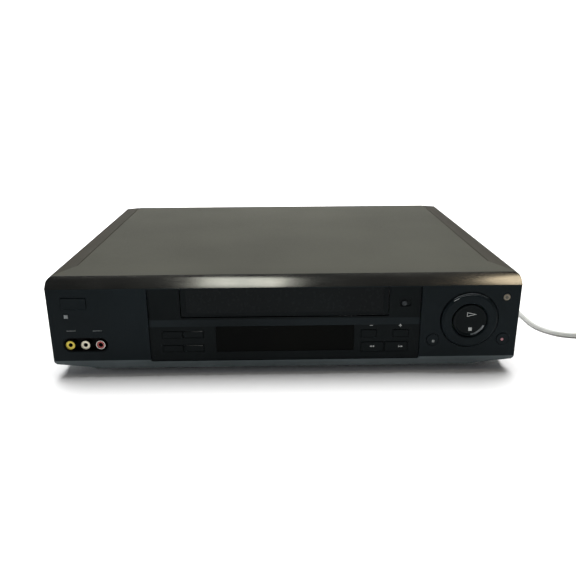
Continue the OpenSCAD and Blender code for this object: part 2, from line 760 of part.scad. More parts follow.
deck_t = 1.5;
deck_top = deck_z + deck_t;
drum_y = 222;
reel_y = 130;
capstan_x = 58;
capstan_y = 190;
capstan_r = 1.5;
arm_x = 86;
arm_y = 206;
arm_l = 26.5;
arm_rest = 170;
arm_turn = 29;
roller_r = 6;
cam_x = -70;
cam_y = 226;
cam_z = deck_top + 8;
cam_t = 5;
idler_y = 165;
idler_l = 38;
idler_r = 13;
table_r = 20;
axle_r = 2.5;
guide_x = 32;
guide_y = 172;
guide_lean = 10;
post_h = 12;
boss_h = 3.4;

module guide_slot(s) {
  translate([s * guide_x, face_y + guide_y, 0]) rotate(s * -guide_lean) translate([-2.2, -2, deck_z - past])
    cube([4.4, guide_travel + 6, deck_t + 2 * past]);
}

module transport_plate() {
  color("#a7abad") {
    difference() {
      block(-mech_w / 2 + 2, mech_w / 2 - 2, mech_y0, mech_y1, deck_z, deck_top);
      for (s = [-1, 1]) guide_slot(s);
      post(capstan_x, capstan_y, deck_z - past, capstan_r + slip, 20);
      post(0, drum_y, deck_z - past, 8, 20);
    }
    difference() {
      post(capstan_x, capstan_y, deck_top, 4, boss_h);
      post(capstan_x, capstan_y, deck_z, capstan_r + slip, 20);
    }
    for (x = [-mech_w / 2 + 8, mech_w / 2 - 8], y = [mech_y0 + 8, mech_y1 - 8])
      post(x, y, floor_z + sheet, 3, deck_z - floor_z - sheet);
    // Axles of the reel tables, the idler arm, the cam gear and the pinch arm.
    for (s = [-1, 1]) post(s * reel_pitch / 2, reel_y, deck_top, axle_r, post_h);
    post(0, idler_y, deck_top, axle_r, 6);
    post(cam_x, cam_y, deck_top, axle_r, 14);
    post(cam_x, cam_y, deck_top, 5, cam_z - deck_top - gap);
    post(arm_x, arm_y, deck_top, axle_r, post_h);
  }
}

// The head drum leans; its lower half is fixed and its upper half spins.
lower_h = 20;
upper_h = 17;
module on_drum() {
  translate([0, face_y + drum_y, deck_top + 4]) rotate([drum_lean, 0, 0]) children();
}

module lower_drum() {
  color("#c3c6c8") {
    post(0, drum_y, deck_top, 15, 5);
    on_drum() difference() {
      union() {
        cylinder(r = drum_r, h = lower_h - 3);
        cylinder(r = drum_r - 3, h = lower_h);
        cylinder(r = 3, h = lower_h + 9);
      }
      // The tape runs on a narrow ledge cut round the drum.
      translate([0, 0, 6]) difference() {
        cylinder(r = drum_r + past, h = lower_h);
        translate([0, 0, -past]) cylinder(r = drum_r - 0.6, h = lower_h + 2 * past);
      }
    }
  }
}

module upper_drum() {
  color("#d2d5d6") on_drum() translate([0, 0, lower_h + gap]) difference() {
    union() {
      cylinder(r = drum_r - 0.3, h = upper_h - 5);
      cylinder(r = 12, h = upper_h);
    }
    translate([0, 0, -past]) cylinder(r = 3 + slip, h = upper_h - 3 + past);
    for (a = [0:90:270]) rotate(a) translate([drum_r - 3, -1.5, -past]) cube([5, 3, 4 + past]);
    for (a = [45:90:315]) rotate(a) translate([21, 0, 6]) cylinder(r = 4, h = upper_h);
  }
}

flywheel_z = floor_z + 5;
module capstan() {
  color("#cfd2d4") {
    post(capstan_x, capstan_y, flywheel_z, capstan_r, 38);
    difference() {
      post(capstan_x, capstan_y, flywheel_z, 22, 7);
      difference() {
        post(capstan_x, capstan_y, flywheel_z + 3, 18, 6);
        post(capstan_x, capstan_y, flywheel_z + 2, 7, 6);
      }
    }
  }
}

module capstan_motor() {
  x0 = capstan_x - 26;
  color("#6f7f6a") difference() {
    block(x0, x0 + 52, capstan_y - 26, capstan_y + 26, floor_z + sheet, flywheel_z - gap);
    post(capstan_x, capstan_y, floor_z - past, capstan_r + 0.5, 10);
  }
}

// A reel table turns on its axle and holds a splined spindle for the cassette's hub.
module reel_table(s) {
  difference() {
    union() {
      post(s * reel_pitch / 2, reel_y, deck_top + gap, table_r, 3);
      post(s * reel_pitch / 2, reel_y, deck_top + gap, 8, 9);
      post(s * reel_pitch / 2, reel_y, deck_top + gap, 4.6, post_h + 4);
      translate([s * reel_pitch / 2, face_y + reel_y, deck_top + gap + 9]) for (a = [0:60:300]) rotate(a)
        translate([0, -0.7, 0]) cube([6.2, 1.4, 5]);
    }
    post(s * reel_pitch / 2, reel_y, deck_z, axle_r + slip, post_h + deck_t + 0.5);
  }
}
module supply_reel() { color("#e3e1d8") reel_table(-1); }
module takeup_reel() { color("#e3e1d8") reel_table(1); }

// The idler swings between the reel tables. At rest it touches neither.
module idler_arm() {
  color("#d9d3c0") {
    difference() {
      union() {
        block(-4, 4, idler_y - idler_l, idler_y, deck_top + gap, deck_top + gap + 1.5);
        post(0, idler_y, deck_top + gap, 5, 4);
        post(0, idler_y - idler_l, deck_top + gap, 1.5, 5);
      }
      post(0, idler_y, deck_z, axle_r + slip, 14);
    }
    difference() {
      post(0, idler_y - idler_l, deck_top + gap + 1.5, idler_r, 3);
      post(0, idler_y - idler_l, deck_top, 1.5, 14);
    }
  }
}

function polar(r, a) = [r * cos(a), r * sin(a)];
roller = [arm_x, arm_y] + polar(arm_l, arm_rest);
module pinch_arm() {
  color("#b9bdc0") difference() {
    union() {
      post(arm_x, arm_y, deck_top + gap, 5, post_h - 1);
      translate([arm_x, face_y + arm_y, deck_top + 2]) rotate(arm_rest)
        translate([0, -2.5, 0]) cube([arm_l, 5, 1.6]);
      post(roller[0], roller[1], deck_top + 2, 3, 1.6);
      post(roller[0], roller[1], deck_top + 2, 1.5, 21);
      post(roller[0], roller[1], deck_top + 22, 3, 1);
    }
    post(arm_x, arm_y, deck_z, axle_r + slip, 20);
  }
}

module pinch_roller() {
  color("#1f1f1f") difference() {
    post(roller[0], roller[1], deck_top + 3.9, roller_r, 17.6);
    post(roller[0], roller[1], deck_top, 1.5 + slip, 30);
  }
}

// A tape guide: a shoe on the plate, a tongue through its slot, a roller and a slanted pin.
module tape_guide(s) {
  translate([s * guide_x, face_y + guide_y, 0]) rotate(s * -guide_lean) {
    translate([-4.5, -5, deck_top + 0.1]) cube([9, 11, 3]);
    translate([0, 0.5, deck_z - 0.5]) cylinder(r = 1.9, h = deck_t + 1);
    translate([0, 2, deck_top + 3]) cylinder(r = 3, h = 17);
    translate([0, 2, deck_top + 19]) cylinder(r = 3.8, h = 1.5);
    translate([s * 2, -3, deck_top + 2]) rotate([-12, 0, 0]) cylinder(r = 1, h = 15);
  }
}
module supply_guide() { color("#caa64a") tape_guide(-1); }
module takeup_guide() { color("#caa64a") tape_guide(1); }

// Erase head and sound head, each on a foot: place across, place behind the face, and turn.
erase_head = [-54, 188, 0];
sound_head = [49, 203.5, 25];
module tape_heads() {
  color("#b5b5b0") for (p = [erase_head, sound_head])
    translate([p[0], face_y + p[1], deck_top]) rotate(p[2]) {
      translate([-4.2, -3, 0]) cube([7.2, 8, 3]);
      translate([-4, -3, 3]) cube([6, 6, 19]);
    }
}

// The cam gear drives the threading; a worm on the loading motor turns it.
cam_teeth = 36;
tooth = 2 * cam_r * PI / cam_teeth;
track_w = 3;
track_deep = 2;
module cam_gear() {
  color("#e8e6dd") translate([cam_x, face_y + cam_y, cam_z]) difference() {
    union() {
      cylinder(r = cam_r - 1, h = cam_t);
      for (k = [0:cam_teeth - 1]) rotate(k * 360 / cam_teeth) translate([cam_r - 1.4, -tooth / 4, 0])
        cube([2.2, tooth / 2, cam_t]);
      cylinder(r = 6, h = cam_t + 3);
    }
    translate([0, 0, -past]) cylinder(r = axle_r + slip, h = 20);
    // A curved track for the levers, as long as the gear's turn.
    translate([0, 0, cam_t - track_deep]) rotate_extrude(angle = cam_turn)
      translate([cam_r - 7, 0]) square([track_w, track_deep + past]);
  }
}

worm_r = 3.4;
worm_x = cam_x - cam_r - 1.2 - worm_r;
worm_z = cam_z + cam_t / 2;
motor_r = 8.5;
motor_l = 24;
motor_y = cam_y - 14;
module worm() {
  color("#efece2") {
    bar(worm_x, worm_z, worm_r - 0.9, cam_y - 11, cam_y + 12);
    for (k = [0:6]) bar(worm_x, worm_z, worm_r, cam_y - 10 + k * tooth, cam_y - 10 + k * tooth + 1);
    bar(worm_x, worm_z, 1, motor_y - 3, cam_y - 10);
  }
}

module loading_motor() {
  color("#a9acae") difference() {
    union() {
      bar(worm_x, worm_z, motor_r, motor_y - motor_l, motor_y);
      block(worm_x - 7, worm_x + 7, motor_y - motor_l + 4, motor_y - 4, deck_top, worm_z - 6);
    }
    bar(worm_x, worm_z, 1 + slip, motor_y - 6, motor_y + past);
  }
}

// Cassette lift: fixed side frames, a carriage that slides in, and a holder that drops.
wall_x = hold_side + bracket_t;
carriage_x = wall_x + gap;
frame_x = carriage_x + bracket_t + gap;
frame_top = hold_z + tape_room + 8;
frame_y1 = hold_y + hold_d + draw_in + 8;

module lift_frame() {
  color("#b4b8ba") {
    difference() {
      both_sides(frame_x, frame_x + bracket_t, mech_y0 + 2, frame_y1, deck_top, frame_top);
      for (y = [60, 110]) block(-mech_w, mech_w, y, y + 34, deck_top + 12, hold_z - 6);
    }
    both_sides(frame_x, frame_x + 6, mech_y0 + 12, mech_y0 + 24, deck_top, deck_top + 1);
    both_sides(frame_x - 6, frame_x + bracket_t, frame_y1 - 6, frame_y1, frame_top - 1, frame_top);
    block(-frame_x - bracket_t, frame_x + bracket_t, frame_y1 - 6, frame_y1, frame_top, frame_top + 1);
  }
}

module lift_carriage() {
  z1 = frame_top - 1.5;
  color("#8e9296") {
    both_sides(carriage_x, carriage_x + bracket_t, hold_y, hold_y + hold_d, hold_z + 6, z1);
    for (y = [hold_y + 4, hold_y + hold_d - 12])
      block(-carriage_x - bracket_t, carriage_x + bracket_t, y, y + 8, z1 - 1, z1);
  }
}

module cassette_holder() {
  z1 = hold_z + tape_room;
  color("#c9ccce") {
    both_sides(hold_side, wall_x, hold_y, hold_y + hold_d, hold_z - bracket_t, z1 + bracket_t);
    both_sides(hold_side - 9, wall_x, hold_y, hold_y + hold_d, hold_z - bracket_t, hold_z);
    difference() {
      block(-wall_x, wall_x, hold_y, hold_y + hold_d, z1, z1 + bracket_t);
      for (x = [-60, 10]) block(x, x + 50, hold_y + 18, hold_y + hold_d - 18, z1 - past, z1 + 2 * past);
    }
    block(-wall_x, wall_x, hold_y + hold_d - bracket_t, hold_y + hold_d, z1 - 6, z1);
  }
}

// Mains lead

// A tube along points, with a ring of sides at each, square to the way it runs there.
function unit(v) = v / norm(v);
function heading(p, i) = unit(p[min(i + 1, len(p) - 1)] - p[max(i - 1, 0)]);
function ring_at(p, i, r, n) =
  let (t = heading(p, i), side = unit(cross(t, [0, 0, 1])), up = cross(side, t))
  [for (k = [0:n - 1]) p[i] + r * (side * cos(360 * k / n) + up * sin(360 * k / n))];

module tube(p, r, n) {
  m = len(p);
  points = [for (i = [0:m - 1]) each ring_at(p, i, r, n)];
  sides = [for (i = [0:m - 2], k = [0:n - 1], f = [0, 1])
    let (a = i * n + k, b = i * n + (k + 1) % n) f == 0 ? [a, a + n, b] : [b, a + n, b + n]];
  caps = concat([[for (k = [0:n - 1]) k]], [[for (k = [n - 1:-1:0]) (m - 1) * n + k]]);
  polyhedron(points, concat(sides, caps));
}

// The free stretch, counted from the end of the strain relief: it falls to the floor as a
// share of the hole's height, then runs forward past the right side.
relief_end = face_y + case_d + 25;
fall = [[0, 0, 1], [0, 10, 1], [0, 20, 0.941], [0, 29, 0.801], [0.5, 37, 0.577], [1.5, 44, 0.32],
  [4, 52, 0.118], [8, 60, 0.022]];
laid = [[15, 68], [25, 74], [37, 76], [49, 74], [61, 69], [71, 61], [79, 51], [84, 39], [87, 26], [89, 12],
  [90, -2], [91, -16], [92, -30], [92.5, -44], for (k = [0:10]) [93, -58 - 14 * k], [93.5, -212],
  [94, -224], [95.5, -235], [100, -245.5], [107.5, -254.5], [117, -260.5], [128, -263.4], [139, -264],
  [152, -264]];
coil_start = [lead_x + 162, relief_end - 264, lead_z];
lead_drop = lead_hole_z - lead_z;
lead_route = concat([for (p = fall) [lead_x + p[0], relief_end + p[1], lead_z + lead_drop * p[2]]],
  [for (p = laid) [lead_x + p[0], relief_end + p[1], lead_z]], [coil_start]);

// The stored length: turns that spiral in on the floor, climb, and spiral out on top.
coil_turns = 3;
coil_in = 21.5;
turn_pitch = cord_d + turn_gap;
coil_out = coil_in + coil_turns * turn_pitch;
coil_c = [coil_start[0] + 7, coil_start[1] - coil_out];
coil_steps = 24;
function climb(u) = u <= 0 ? 0 : u >= 1 ? 1 : u * u * (3 - 2 * u);
function coil_point(i) =
  let (a = i / coil_steps, r = coil_in + abs(coil_turns - a) * turn_pitch,
    z = lead_z + turn_pitch * climb((a - coil_turns) * 2 + 0.5))
  [coil_c[0] + r * sin(360 * a), coil_c[1] + r * cos(360 * a), z];
coil_line = [for (i = [0:2 * coil_turns * coil_steps]) coil_point(i)];
coil_end = lead_z + turn_pitch;
tail_r = 24;
tail = [for (a = [15:15:90])
  [coil_c[0] + tail_r * sin(a), coil_c[1] + coil_out + tail_r * (1 - cos(a)), coil_end]];
plug_x = coil_c[0] + tail_r;
plug_y = coil_c[1] + coil_out + tail_r + 6;
coil_route = concat([coil_start], coil_line, tail, [[plug_x, plug_y, coil_end]]);
coil_gap = min([for (i = [0:len(coil_line) - 1], j = [i + 8:1:len(coil_line) - 1])
  norm(coil_line[i] - coil_line[j])]) - cord_d;
echo(str("least gap between turns of the lead: ", coil_gap, " mm"));
function path_l(p) = len(p) < 2 ? 0 : [for (i = 1, l = norm(p[1] - p[0]); i < len(p);
  i = i + 1, l = l + (i < len(p) ? norm(p[i] - p[i - 1]) : 0)) l][len(p) - 2];
lead_l = path_l(lead_route) + path_l(coil_route);
echo(str("length of the lead: ", lead_l, " mm, of which coiled: ", path_l(coil_route), " mm"));

relief_r = 5;
module strain_relief() {
  y0 = case_d - rear_inset + sheet;
  taper = relief_end - face_y - y0 - 4;
  color("#a9aaa8") {
    bar(lead_x, lead_hole_z, relief_r, y0 - sheet - 4, y0 + 4);
    translate([lead_x, face_y + y0 + 4, lead_hole_z]) rotate([-90, 0, 0]) {
      rotate_extrude() polygon([[0, 0], [relief_r - 0.4, 0], [cord_d / 2 + 0.9, taper], [0, taper]]);
    }
    bar(lead_x, lead_hole_z, relief_r + 1.6, y0, y0 + 2);
  }
}

module mains_cord() { color("#b7b8b5") tube(lead_route, cord_d / 2, 8); }
module cord_coil() { color("#b7b8b5") tube(coil_route, cord_d / 2, 6); }

// A two-blade plug lying beside the coil.
plug_l = 30;
blade_pitch = 12.7;
plug_half = coil_end - 0.3;
module plug() {
  color("#aeafac") translate([plug_x, plug_y, coil_end]) rotate([0, 0, 90]) {
    rotate([0, 90, 0]) cylinder(r1 = cord_d / 2 + 0.9, r2 = 5, h = 10);
    difference() {
      translate([10, 0, 0]) rotate([90, 0, 90]) linear_extrude(plug_l - 10) {
        square([22, 2 * plug_half - 5], center = true);
        square([17, 2 * plug_half], center = true);
        for (y = [-8.5, 8.5], z = [-plug_half + 2.5, plug_half - 2.5]) translate([y, z]) circle(2.5);
      }
      for (s = [-1, 1]) translate([18, s * 13.5, 0]) cylinder(r = 4, h = 4 * plug_half, center = true);
    }
    for (s = [-1, 1]) translate([plug_l - 1, s * blade_pitch / 2 - 0.75, -3.15]) cube([18, 1.5, 6.3]);
  }
}

front_bezel();
trim_strip();
centre_fascia();
display_window();
display_tube();
control_boards();
tact_switches();
remote_window();
yellow_jack();
white_jack();
red_jack();
jack_shells();
bottom_chassis();
top_cover();
rear_panel();
feet();
cover_screws();
main_board();
transformer();
tuner_box();
rear_jack_block();
transport_plate();
lower_drum();
capstan_motor();
lift_frame();
tape_heads();
loading_motor();
cassette_door();
lift_carriage();
cassette_holder();
upper_drum();
capstan();
supply_reel();
takeup_reel();
idler_arm();
pinch_arm();
pinch_roller();
supply_guide();
takeup_guide();
cam_gear();
worm();
power_button();
setup_button();
source_button();
input_button();
clock_button();
eject_button();
channel_down_button();
channel_up_button();
rewind_button();
forward_button();
pause_button();
record_button();
preset_button();
play_stop_key();
shuttle_ring();
strain_relief();
mains_cord();
cord_coil();
plug();
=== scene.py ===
import json
import math

import bmesh
import bpy
from mathutils import Matrix, Vector


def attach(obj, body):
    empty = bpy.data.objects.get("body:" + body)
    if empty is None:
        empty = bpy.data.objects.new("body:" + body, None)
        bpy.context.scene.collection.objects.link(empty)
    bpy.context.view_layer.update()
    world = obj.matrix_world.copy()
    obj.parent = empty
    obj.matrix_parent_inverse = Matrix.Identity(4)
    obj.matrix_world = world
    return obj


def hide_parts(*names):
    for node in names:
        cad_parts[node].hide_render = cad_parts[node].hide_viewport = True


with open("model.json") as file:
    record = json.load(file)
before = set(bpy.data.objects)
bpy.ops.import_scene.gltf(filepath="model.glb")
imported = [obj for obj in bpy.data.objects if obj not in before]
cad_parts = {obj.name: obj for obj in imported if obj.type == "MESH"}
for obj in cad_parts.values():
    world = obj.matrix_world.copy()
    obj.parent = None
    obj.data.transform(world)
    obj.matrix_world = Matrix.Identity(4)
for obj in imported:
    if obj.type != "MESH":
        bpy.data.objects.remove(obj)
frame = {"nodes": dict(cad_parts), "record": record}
nodes = frame["nodes"]
record = frame["record"]
bodyOf = {node: body for body, members in record["behaviour"]["bodies"].items() for node in members}
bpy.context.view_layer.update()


# small helpers

def mm(value):
    return value * 0.001


def makeActive(piece):
    bpy.ops.object.select_all(action="DESELECT")
    piece.select_set(True)
    bpy.context.view_layer.objects.active = piece


def hexColour(code):  # sRGB hex to the linear values that sockets want
    channels = [int(code[i:i + 2], 16) / 255 for i in (0, 2, 4)]
    linear = [c / 12.92 if c <= 0.04045 else ((c + 0.055) / 1.055) ** 2.4 for c in channels]
    return (*linear, 1)


def setMode(mode):  # what edit mode selects: VERT, EDGE or FACE
    bpy.context.tool_settings.mesh_select_mode = [mode == kind for kind in ("VERT", "EDGE", "FACE")]


def openEdit(piece, mode="FACE"):
    makeActive(piece)
    setMode(mode)
    bpy.ops.object.mode_set(mode="EDIT")


def closeEdit():
    bpy.ops.object.mode_set(mode="OBJECT")


def pick(piece, kind, wanted):  # in edit mode: selects the verts, edges or faces that pass
    form = bmesh.from_edit_mesh(piece.data)
    bpy.ops.mesh.select_all(action="DESELECT")
    for part in getattr(form, kind):
        if wanted(part):
            part.select_set(True)
    bmesh.update_edit_mesh(piece.data)


sharpFold = 25  # degrees; an edge with less between its faces isn't rounded


def pickEdges(piece, wanted):  # in edit mode: selects the sharp edges whose middle passes
    def passes(edge):
        if len(edge.link_faces) != 2 or edge.calc_face_angle(0) <= math.radians(sharpFold):
            return False
        return wanted((edge.verts[0].co + edge.verts[1].co) / 2)

    pick(piece, "edges", passes)


def settle(piece):  # the piece's place goes into its mesh
    makeActive(piece)
    bpy.ops.object.transform_apply(location=True, rotation=True, scale=True)


def smoothByAngle(piece, degrees):
    makeActive(piece)
    bpy.ops.object.shade_smooth_by_angle(angle=math.radians(degrees))


def finishPiece(piece, name, finish, body):
    settle(piece)
    piece.name = name
    piece.data.materials.clear()
    piece.data.materials.append(finishes[finish])
    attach(piece, body)


def applyModifiers(piece):
    makeActive(piece)
    for modifier in list(piece.modifiers):
        bpy.ops.object.modifier_apply(modifier=modifier.name)


# camera, fitted to the photograph's edges

cameraSetup = {
    "place": (-6.06, -679.15, 262.06),  # mm
    "right": (0.99980703, -0.01894197, -0.00520532),
    "down": (-0.01101776, -0.32133438, -0.9469017),
    "forward": (0.01626353, 0.94677633, -0.32148107),
    "focalPixels": 610,
    "framePixels": 576,
    "sensor": 36,  # mm
    "clip": (0.05, 20),  # metres
}


def makeCamera():
    data = bpy.data.cameras.new("photoCamera")
    data.sensor_width = cameraSetup["sensor"]
    data.lens = cameraSetup["focalPixels"] / cameraSetup["framePixels"] * cameraSetup["sensor"]
    data.clip_start, data.clip_end = cameraSetup["clip"]
    camera = bpy.data.objects.new("photoCamera", data)
    bpy.context.scene.collection.objects.link(camera)
    right = Vector(cameraSetup["right"])
    up = -Vector(cameraSetup["down"])
    back = -Vector(cameraSetup["forward"])
    turn = Matrix((right, up, back)).transposed().to_4x4()
    place = Vector([mm(v) for v in cameraSetup["place"]])
    camera.matrix_world = Matrix.Translation(place) @ turn
    bpy.context.scene.camera = camera


makeCamera()
print("camera made")


# materials

def addNode(tree, kind, settings=None, links=None):
    made = tree.nodes.new(kind)
    for name, value in (settings or {}).items():
        if hasattr(made, name) and name not in made.inputs:
            setattr(made, name, value)
        else:
            made.inputs[name].default_value = value
    for name, socket in (links or {}).items():
        tree.links.new(socket, made.inputs[name])
    return made


# One pixel of the render is about 0.9 mm. The real grits of 0.05 to 0.2 mm are too fine to show, so
# most grains are drawn about a pixel wide.
grainSetup = {
    "span": (0.3, 0.7),  # the noise keeps nearly all its values between these two
    "patchDetail": 3,
    "grainDetail": 2,
}


def makeSurface(look):
    # Object coordinates are metres, so a pattern of s mm has a scale of 1000 / s.
    # The IOR stays at 1.5, which suits ABS, acrylic, nylon and paint.
    material = bpy.data.materials.new(look["name"])
    material.use_nodes = True
    tree = material.node_tree
    shader = tree.nodes["Principled BSDF"]
    shader.inputs["Metallic"].default_value = look.get("metallic", 0)
    shader.inputs["Specular IOR Level"].default_value = look.get("specular", 0.5)
    place = addNode(tree, "ShaderNodeTexCoord").outputs["Object"]
    broad = addNode(tree, "ShaderNodeTexNoise",
                    {"Scale": 1000 / look["patchMm"], "Detail": grainSetup["patchDetail"]}, {"Vector": place})
    colours = addNode(tree, "ShaderNodeValToRGB", links={"Fac": broad.outputs["Fac"]})
    for stop, at, shade in zip(colours.color_ramp.elements, grainSetup["span"], ("dark", "light")):
        stop.position, stop.color = at, hexColour(look[shade])
    tree.links.new(colours.outputs["Color"], shader.inputs["Base Color"])
    stretched = addNode(tree, "ShaderNodeMapping", {"Scale": look.get("stretch", (1, 1, 1))},
                        {"Vector": place})
    grain = addNode(tree, "ShaderNodeTexNoise",
                    {"Scale": 1000 / look["grainMm"], "Detail": grainSetup["grainDetail"]},
                    {"Vector": stretched.outputs["Vector"]})
    spanLow, spanHigh = grainSetup["span"]
    low, high = look["roughness"]
    sheen = addNode(tree, "ShaderNodeMapRange",
                    {"From Min": spanLow, "From Max": spanHigh, "To Min": low, "To Max": high},
                    {"Value": grain.outputs["Fac"]})
    tree.links.new(sheen.outputs["Result"], shader.inputs["Roughness"])
    relief = addNode(tree, "ShaderNodeBump", {"Strength": look["bump"], "Distance": mm(look["reliefMm"])},
                     {"Height": grain.outputs["Fac"]})
    tree.links.new(relief.outputs["Normal"], shader.inputs["Normal"])
    return material


# Spark-textured ABS: the moulded front. Satin, nearly black, a little blue, and soft highlights.
frontAbs = {
    "name": "mouldedAbsFront", "dark": "0d1315", "light": "131a1d", "patchMm": 90,
    "grainMm": 1.2, "roughness": (0.36, 0.46), "specular": 0.05, "bump": 0.05, "reliefMm": 0.03,
}
# The same moulding on the lip in a lighter copy: painted reflection of the pale floor that the lip turns to.
lipPaintedReflection = {
    "name": "mouldedAbsLip", "dark": "394142", "light": "454d4f", "patchMm": 60,
    "grainMm": 1.2, "roughness": (0.42, 0.55), "specular": 0.25, "bump": 0.05, "reliefMm": 0.03,
}
# The bay's sloping ledge in a lighter copy of the moulding: painted light, where it catches the light from
# above.
ledgeLitAbs = {
    "name": "mouldedAbsLedge", "dark": "0d1315", "light": "171e21", "patchMm": 90,
    "grainMm": 1.4, "roughness": (0.4, 0.5), "specular": 0.08, "bump": 0.03, "reliefMm": 0.02,
}
# Painted shade: moulded ABS made dead black on sunk borders and wells, where little light gets in.
shadeAbs = {
    "name": "mouldedAbsSunk", "dark": "040506", "light": "070909", "patchMm": 50,
    "grainMm": 1.4, "roughness": (0.5, 0.6), "specular": 0.05, "bump": 0.03, "reliefMm": 0.02,
}
# Polished top edges of the source and clock buttons, which catch the lamps as thin lines.
polishedEdge = {
    "name": "polishedAbsEdge", "dark": "0b0e10", "light": "101416", "patchMm": 40,
    "grainMm": 3, "roughness": (0.16, 0.24), "specular": 1, "bump": 0.01, "reliefMm": 0.01,
}
# The bright arcs on the rims of the ring and the key: polished, with a painted highlight as a light grey base
# colour that turns with the ring.
rimPaintedHighlight = {
    "name": "wornAbsRim", "dark": "44494b", "light": "585e60", "patchMm": 9,
    "grainMm": 2, "roughness": (0.18, 0.28), "specular": 1, "bump": 0.01, "reliefMm": 0.01,
}
# Smoother ABS of the bay, darker and glossier than the front round it.
bayAbs = {
    "name": "mouldedAbsBay", "dark": "0a0e0f", "light": "0e1314", "patchMm": 70,
    "grainMm": 1.4, "roughness": (0.28, 0.38), "specular": 0.04, "bump": 0.03, "reliefMm": 0.02,
}
# Door: ABS from a polished mould, so that it mirrors softly.
doorAbs = {
    "name": "polishedAbsDoor", "dark": "0c0f10", "light": "101415", "patchMm": 60,
    "grainMm": 3, "roughness": (0.2, 0.3), "specular": 0.05, "bump": 0.01, "reliefMm": 0.02,
}
# Brushed aluminium under dark lacquer: streaks along the width, and a long highlight.
stripMetal = {
    "name": "brushedStripLacquer", "dark": "7c7c78", "light": "8e8d87", "patchMm": 40,
    "grainMm": 0.4, "stretch": (0.02, 1, 1), "roughness": (0.13, 0.18), "metallic": 1,
    "bump": 0.04, "reliefMm": 0.01,
}
# Smoked acrylic: nearly black, polished, with an even mirror.
smokedAcrylic = {
    "name": "smokedAcrylic", "dark": "040505", "light": "070806", "patchMm": 50,
    "grainMm": 20, "roughness": (0.05, 0.09), "specular": 0.02, "bump": 0, "reliefMm": 0.05,
}
# Textured baked paint on steel: grey-olive, with a fine grit that catches the light.
coverPaint = {
    "name": "texturedCoverPaint", "dark": "3a3a34", "light": "43433c", "patchMm": 160,
    "grainMm": 0.9, "roughness": (0.6, 0.75), "specular": 0.03, "bump": 0.2, "reliefMm": 0.05,
}
# The same paint in a lighter copy on the front fold and a darker, browner copy on the side folds: painted
# light and painted shade for how these slopes face the light.
coverBand = {**coverPaint, "name": "texturedCoverBand", "dark": "3b3b35"}
coverEdge = {**coverPaint, "name": "texturedCoverEdge", "dark": "2e2c27", "light": "37352f"}
# Black satin paint on the rear sheet.
rearPaint = {
    "name": "satinRearPaint", "dark": "1d1e1d", "light": "262726", "patchMm": 80,
    "grainMm": 1, "roughness": (0.4, 0.55), "bump": 0.15, "reliefMm": 0.05,
}
# Zinc-plated steel sheet: cool grey, with cloudy patches from the bath.
zincSteel = {
    "name": "zincPlatedSteel", "dark": "8d9091", "light": "b0b3b2", "patchMm": 14, "metallic": 1,
    "grainMm": 2.2, "roughness": (0.28, 0.46), "bump": 0.05, "reliefMm": 0.02,
}
# Phosphated steel of the carriage and levers: darker and duller than zinc.
leverSteel = {
    "name": "phosphatedSteel", "dark": "5f6366", "light": "7d8184", "patchMm": 12, "metallic": 1,
    "grainMm": 1.6, "roughness": (0.34, 0.5), "bump": 0.08, "reliefMm": 0.02,
}
# Tinned steel box of the tuner: brighter and softer than zinc.
tinPlate = {
    "name": "tinPlate", "dark": "a2a5a4", "light": "c3c5c2", "patchMm": 20, "metallic": 1,
    "grainMm": 3, "roughness": (0.2, 0.36), "bump": 0.04, "reliefMm": 0.02,
}
# Turned aluminium of the drum: fine rings round the axis show as soft bands.
turnedAluminium = {
    "name": "turnedAluminium", "dark": "b9bcbe", "light": "d3d6d8", "patchMm": 16, "metallic": 1,
    "grainMm": 0.9, "stretch": (0.05, 0.05, 1), "roughness": (0.12, 0.26), "bump": 0.1, "reliefMm": 0.02,
}
# Ground steel of shafts: bright, with fine streaks along the axis.
groundSteel = {
    "name": "groundSteel", "dark": "b4b7b9", "light": "ced1d3", "patchMm": 9, "metallic": 1,
    "grainMm": 0.8, "stretch": (1, 1, 0.1), "roughness": (0.12, 0.24), "bump": 0.05, "reliefMm": 0.02,
}
# Nickel plate of the phono sleeves: smooth, bright and a little warm.
nickelPlate = {
    "name": "nickelPlate", "dark": "b9b7ae", "light": "d2d0c8", "patchMm": 6, "metallic": 1,
    "grainMm": 1.2, "roughness": (0.14, 0.26), "bump": 0.04, "reliefMm": 0.01,
}
# Acetal of gears and reel tables: waxy off-white.
whiteAcetal = {
    "name": "whiteAcetal", "dark": "cfccbf", "light": "dfdcd0", "patchMm": 25,
    "grainMm": 2, "roughness": (0.34, 0.44), "bump": 0.04, "reliefMm": 0.03,
}
# Cast brass of the tape guides: golden, with a slightly grainy skin.
castBrass = {
    "name": "castBrass", "dark": "a8843a", "light": "c9a552", "patchMm": 8, "metallic": 1,
    "grainMm": 1.1, "roughness": (0.26, 0.42), "bump": 0.1, "reliefMm": 0.03,
}
# Green solder resist over a phenolic or glass board: half gloss, and cloudy where it is thin.
boardResist = {
    "name": "boardSolderResist", "dark": "274d22", "light": "35622c", "patchMm": 30,
    "grainMm": 1.8, "roughness": (0.3, 0.42), "bump": 0.12, "reliefMm": 0.05,
}
# Epoxy of the chips: matt black.
chipResin = {
    "name": "chipResin", "dark": "141515", "light": "1c1d1d", "patchMm": 6,
    "grainMm": 0.6, "roughness": (0.55, 0.7), "specular": 0.3, "bump": 0.05, "reliefMm": 0.02,
}
# Shrunk vinyl sleeves of the capacitors: dark blue, and glossy.
canSleeve = {
    "name": "capacitorSleeve", "dark": "14203a", "light": "1b2a4a", "patchMm": 6,
    "grainMm": 1.5, "roughness": (0.2, 0.32), "bump": 0.02, "reliefMm": 0.02,
}
# Varnished laminations of the transformer: brown, with the sheets' edges as fine lines.
coreVarnish = {
    "name": "varnishedLaminations", "dark": "5d5347", "light": "7a6f60", "patchMm": 18,
    "grainMm": 0.9, "stretch": (1, 0.05, 1), "roughness": (0.38, 0.52), "metallic": 0.4,
    "bump": 0.3, "reliefMm": 0.08,
}
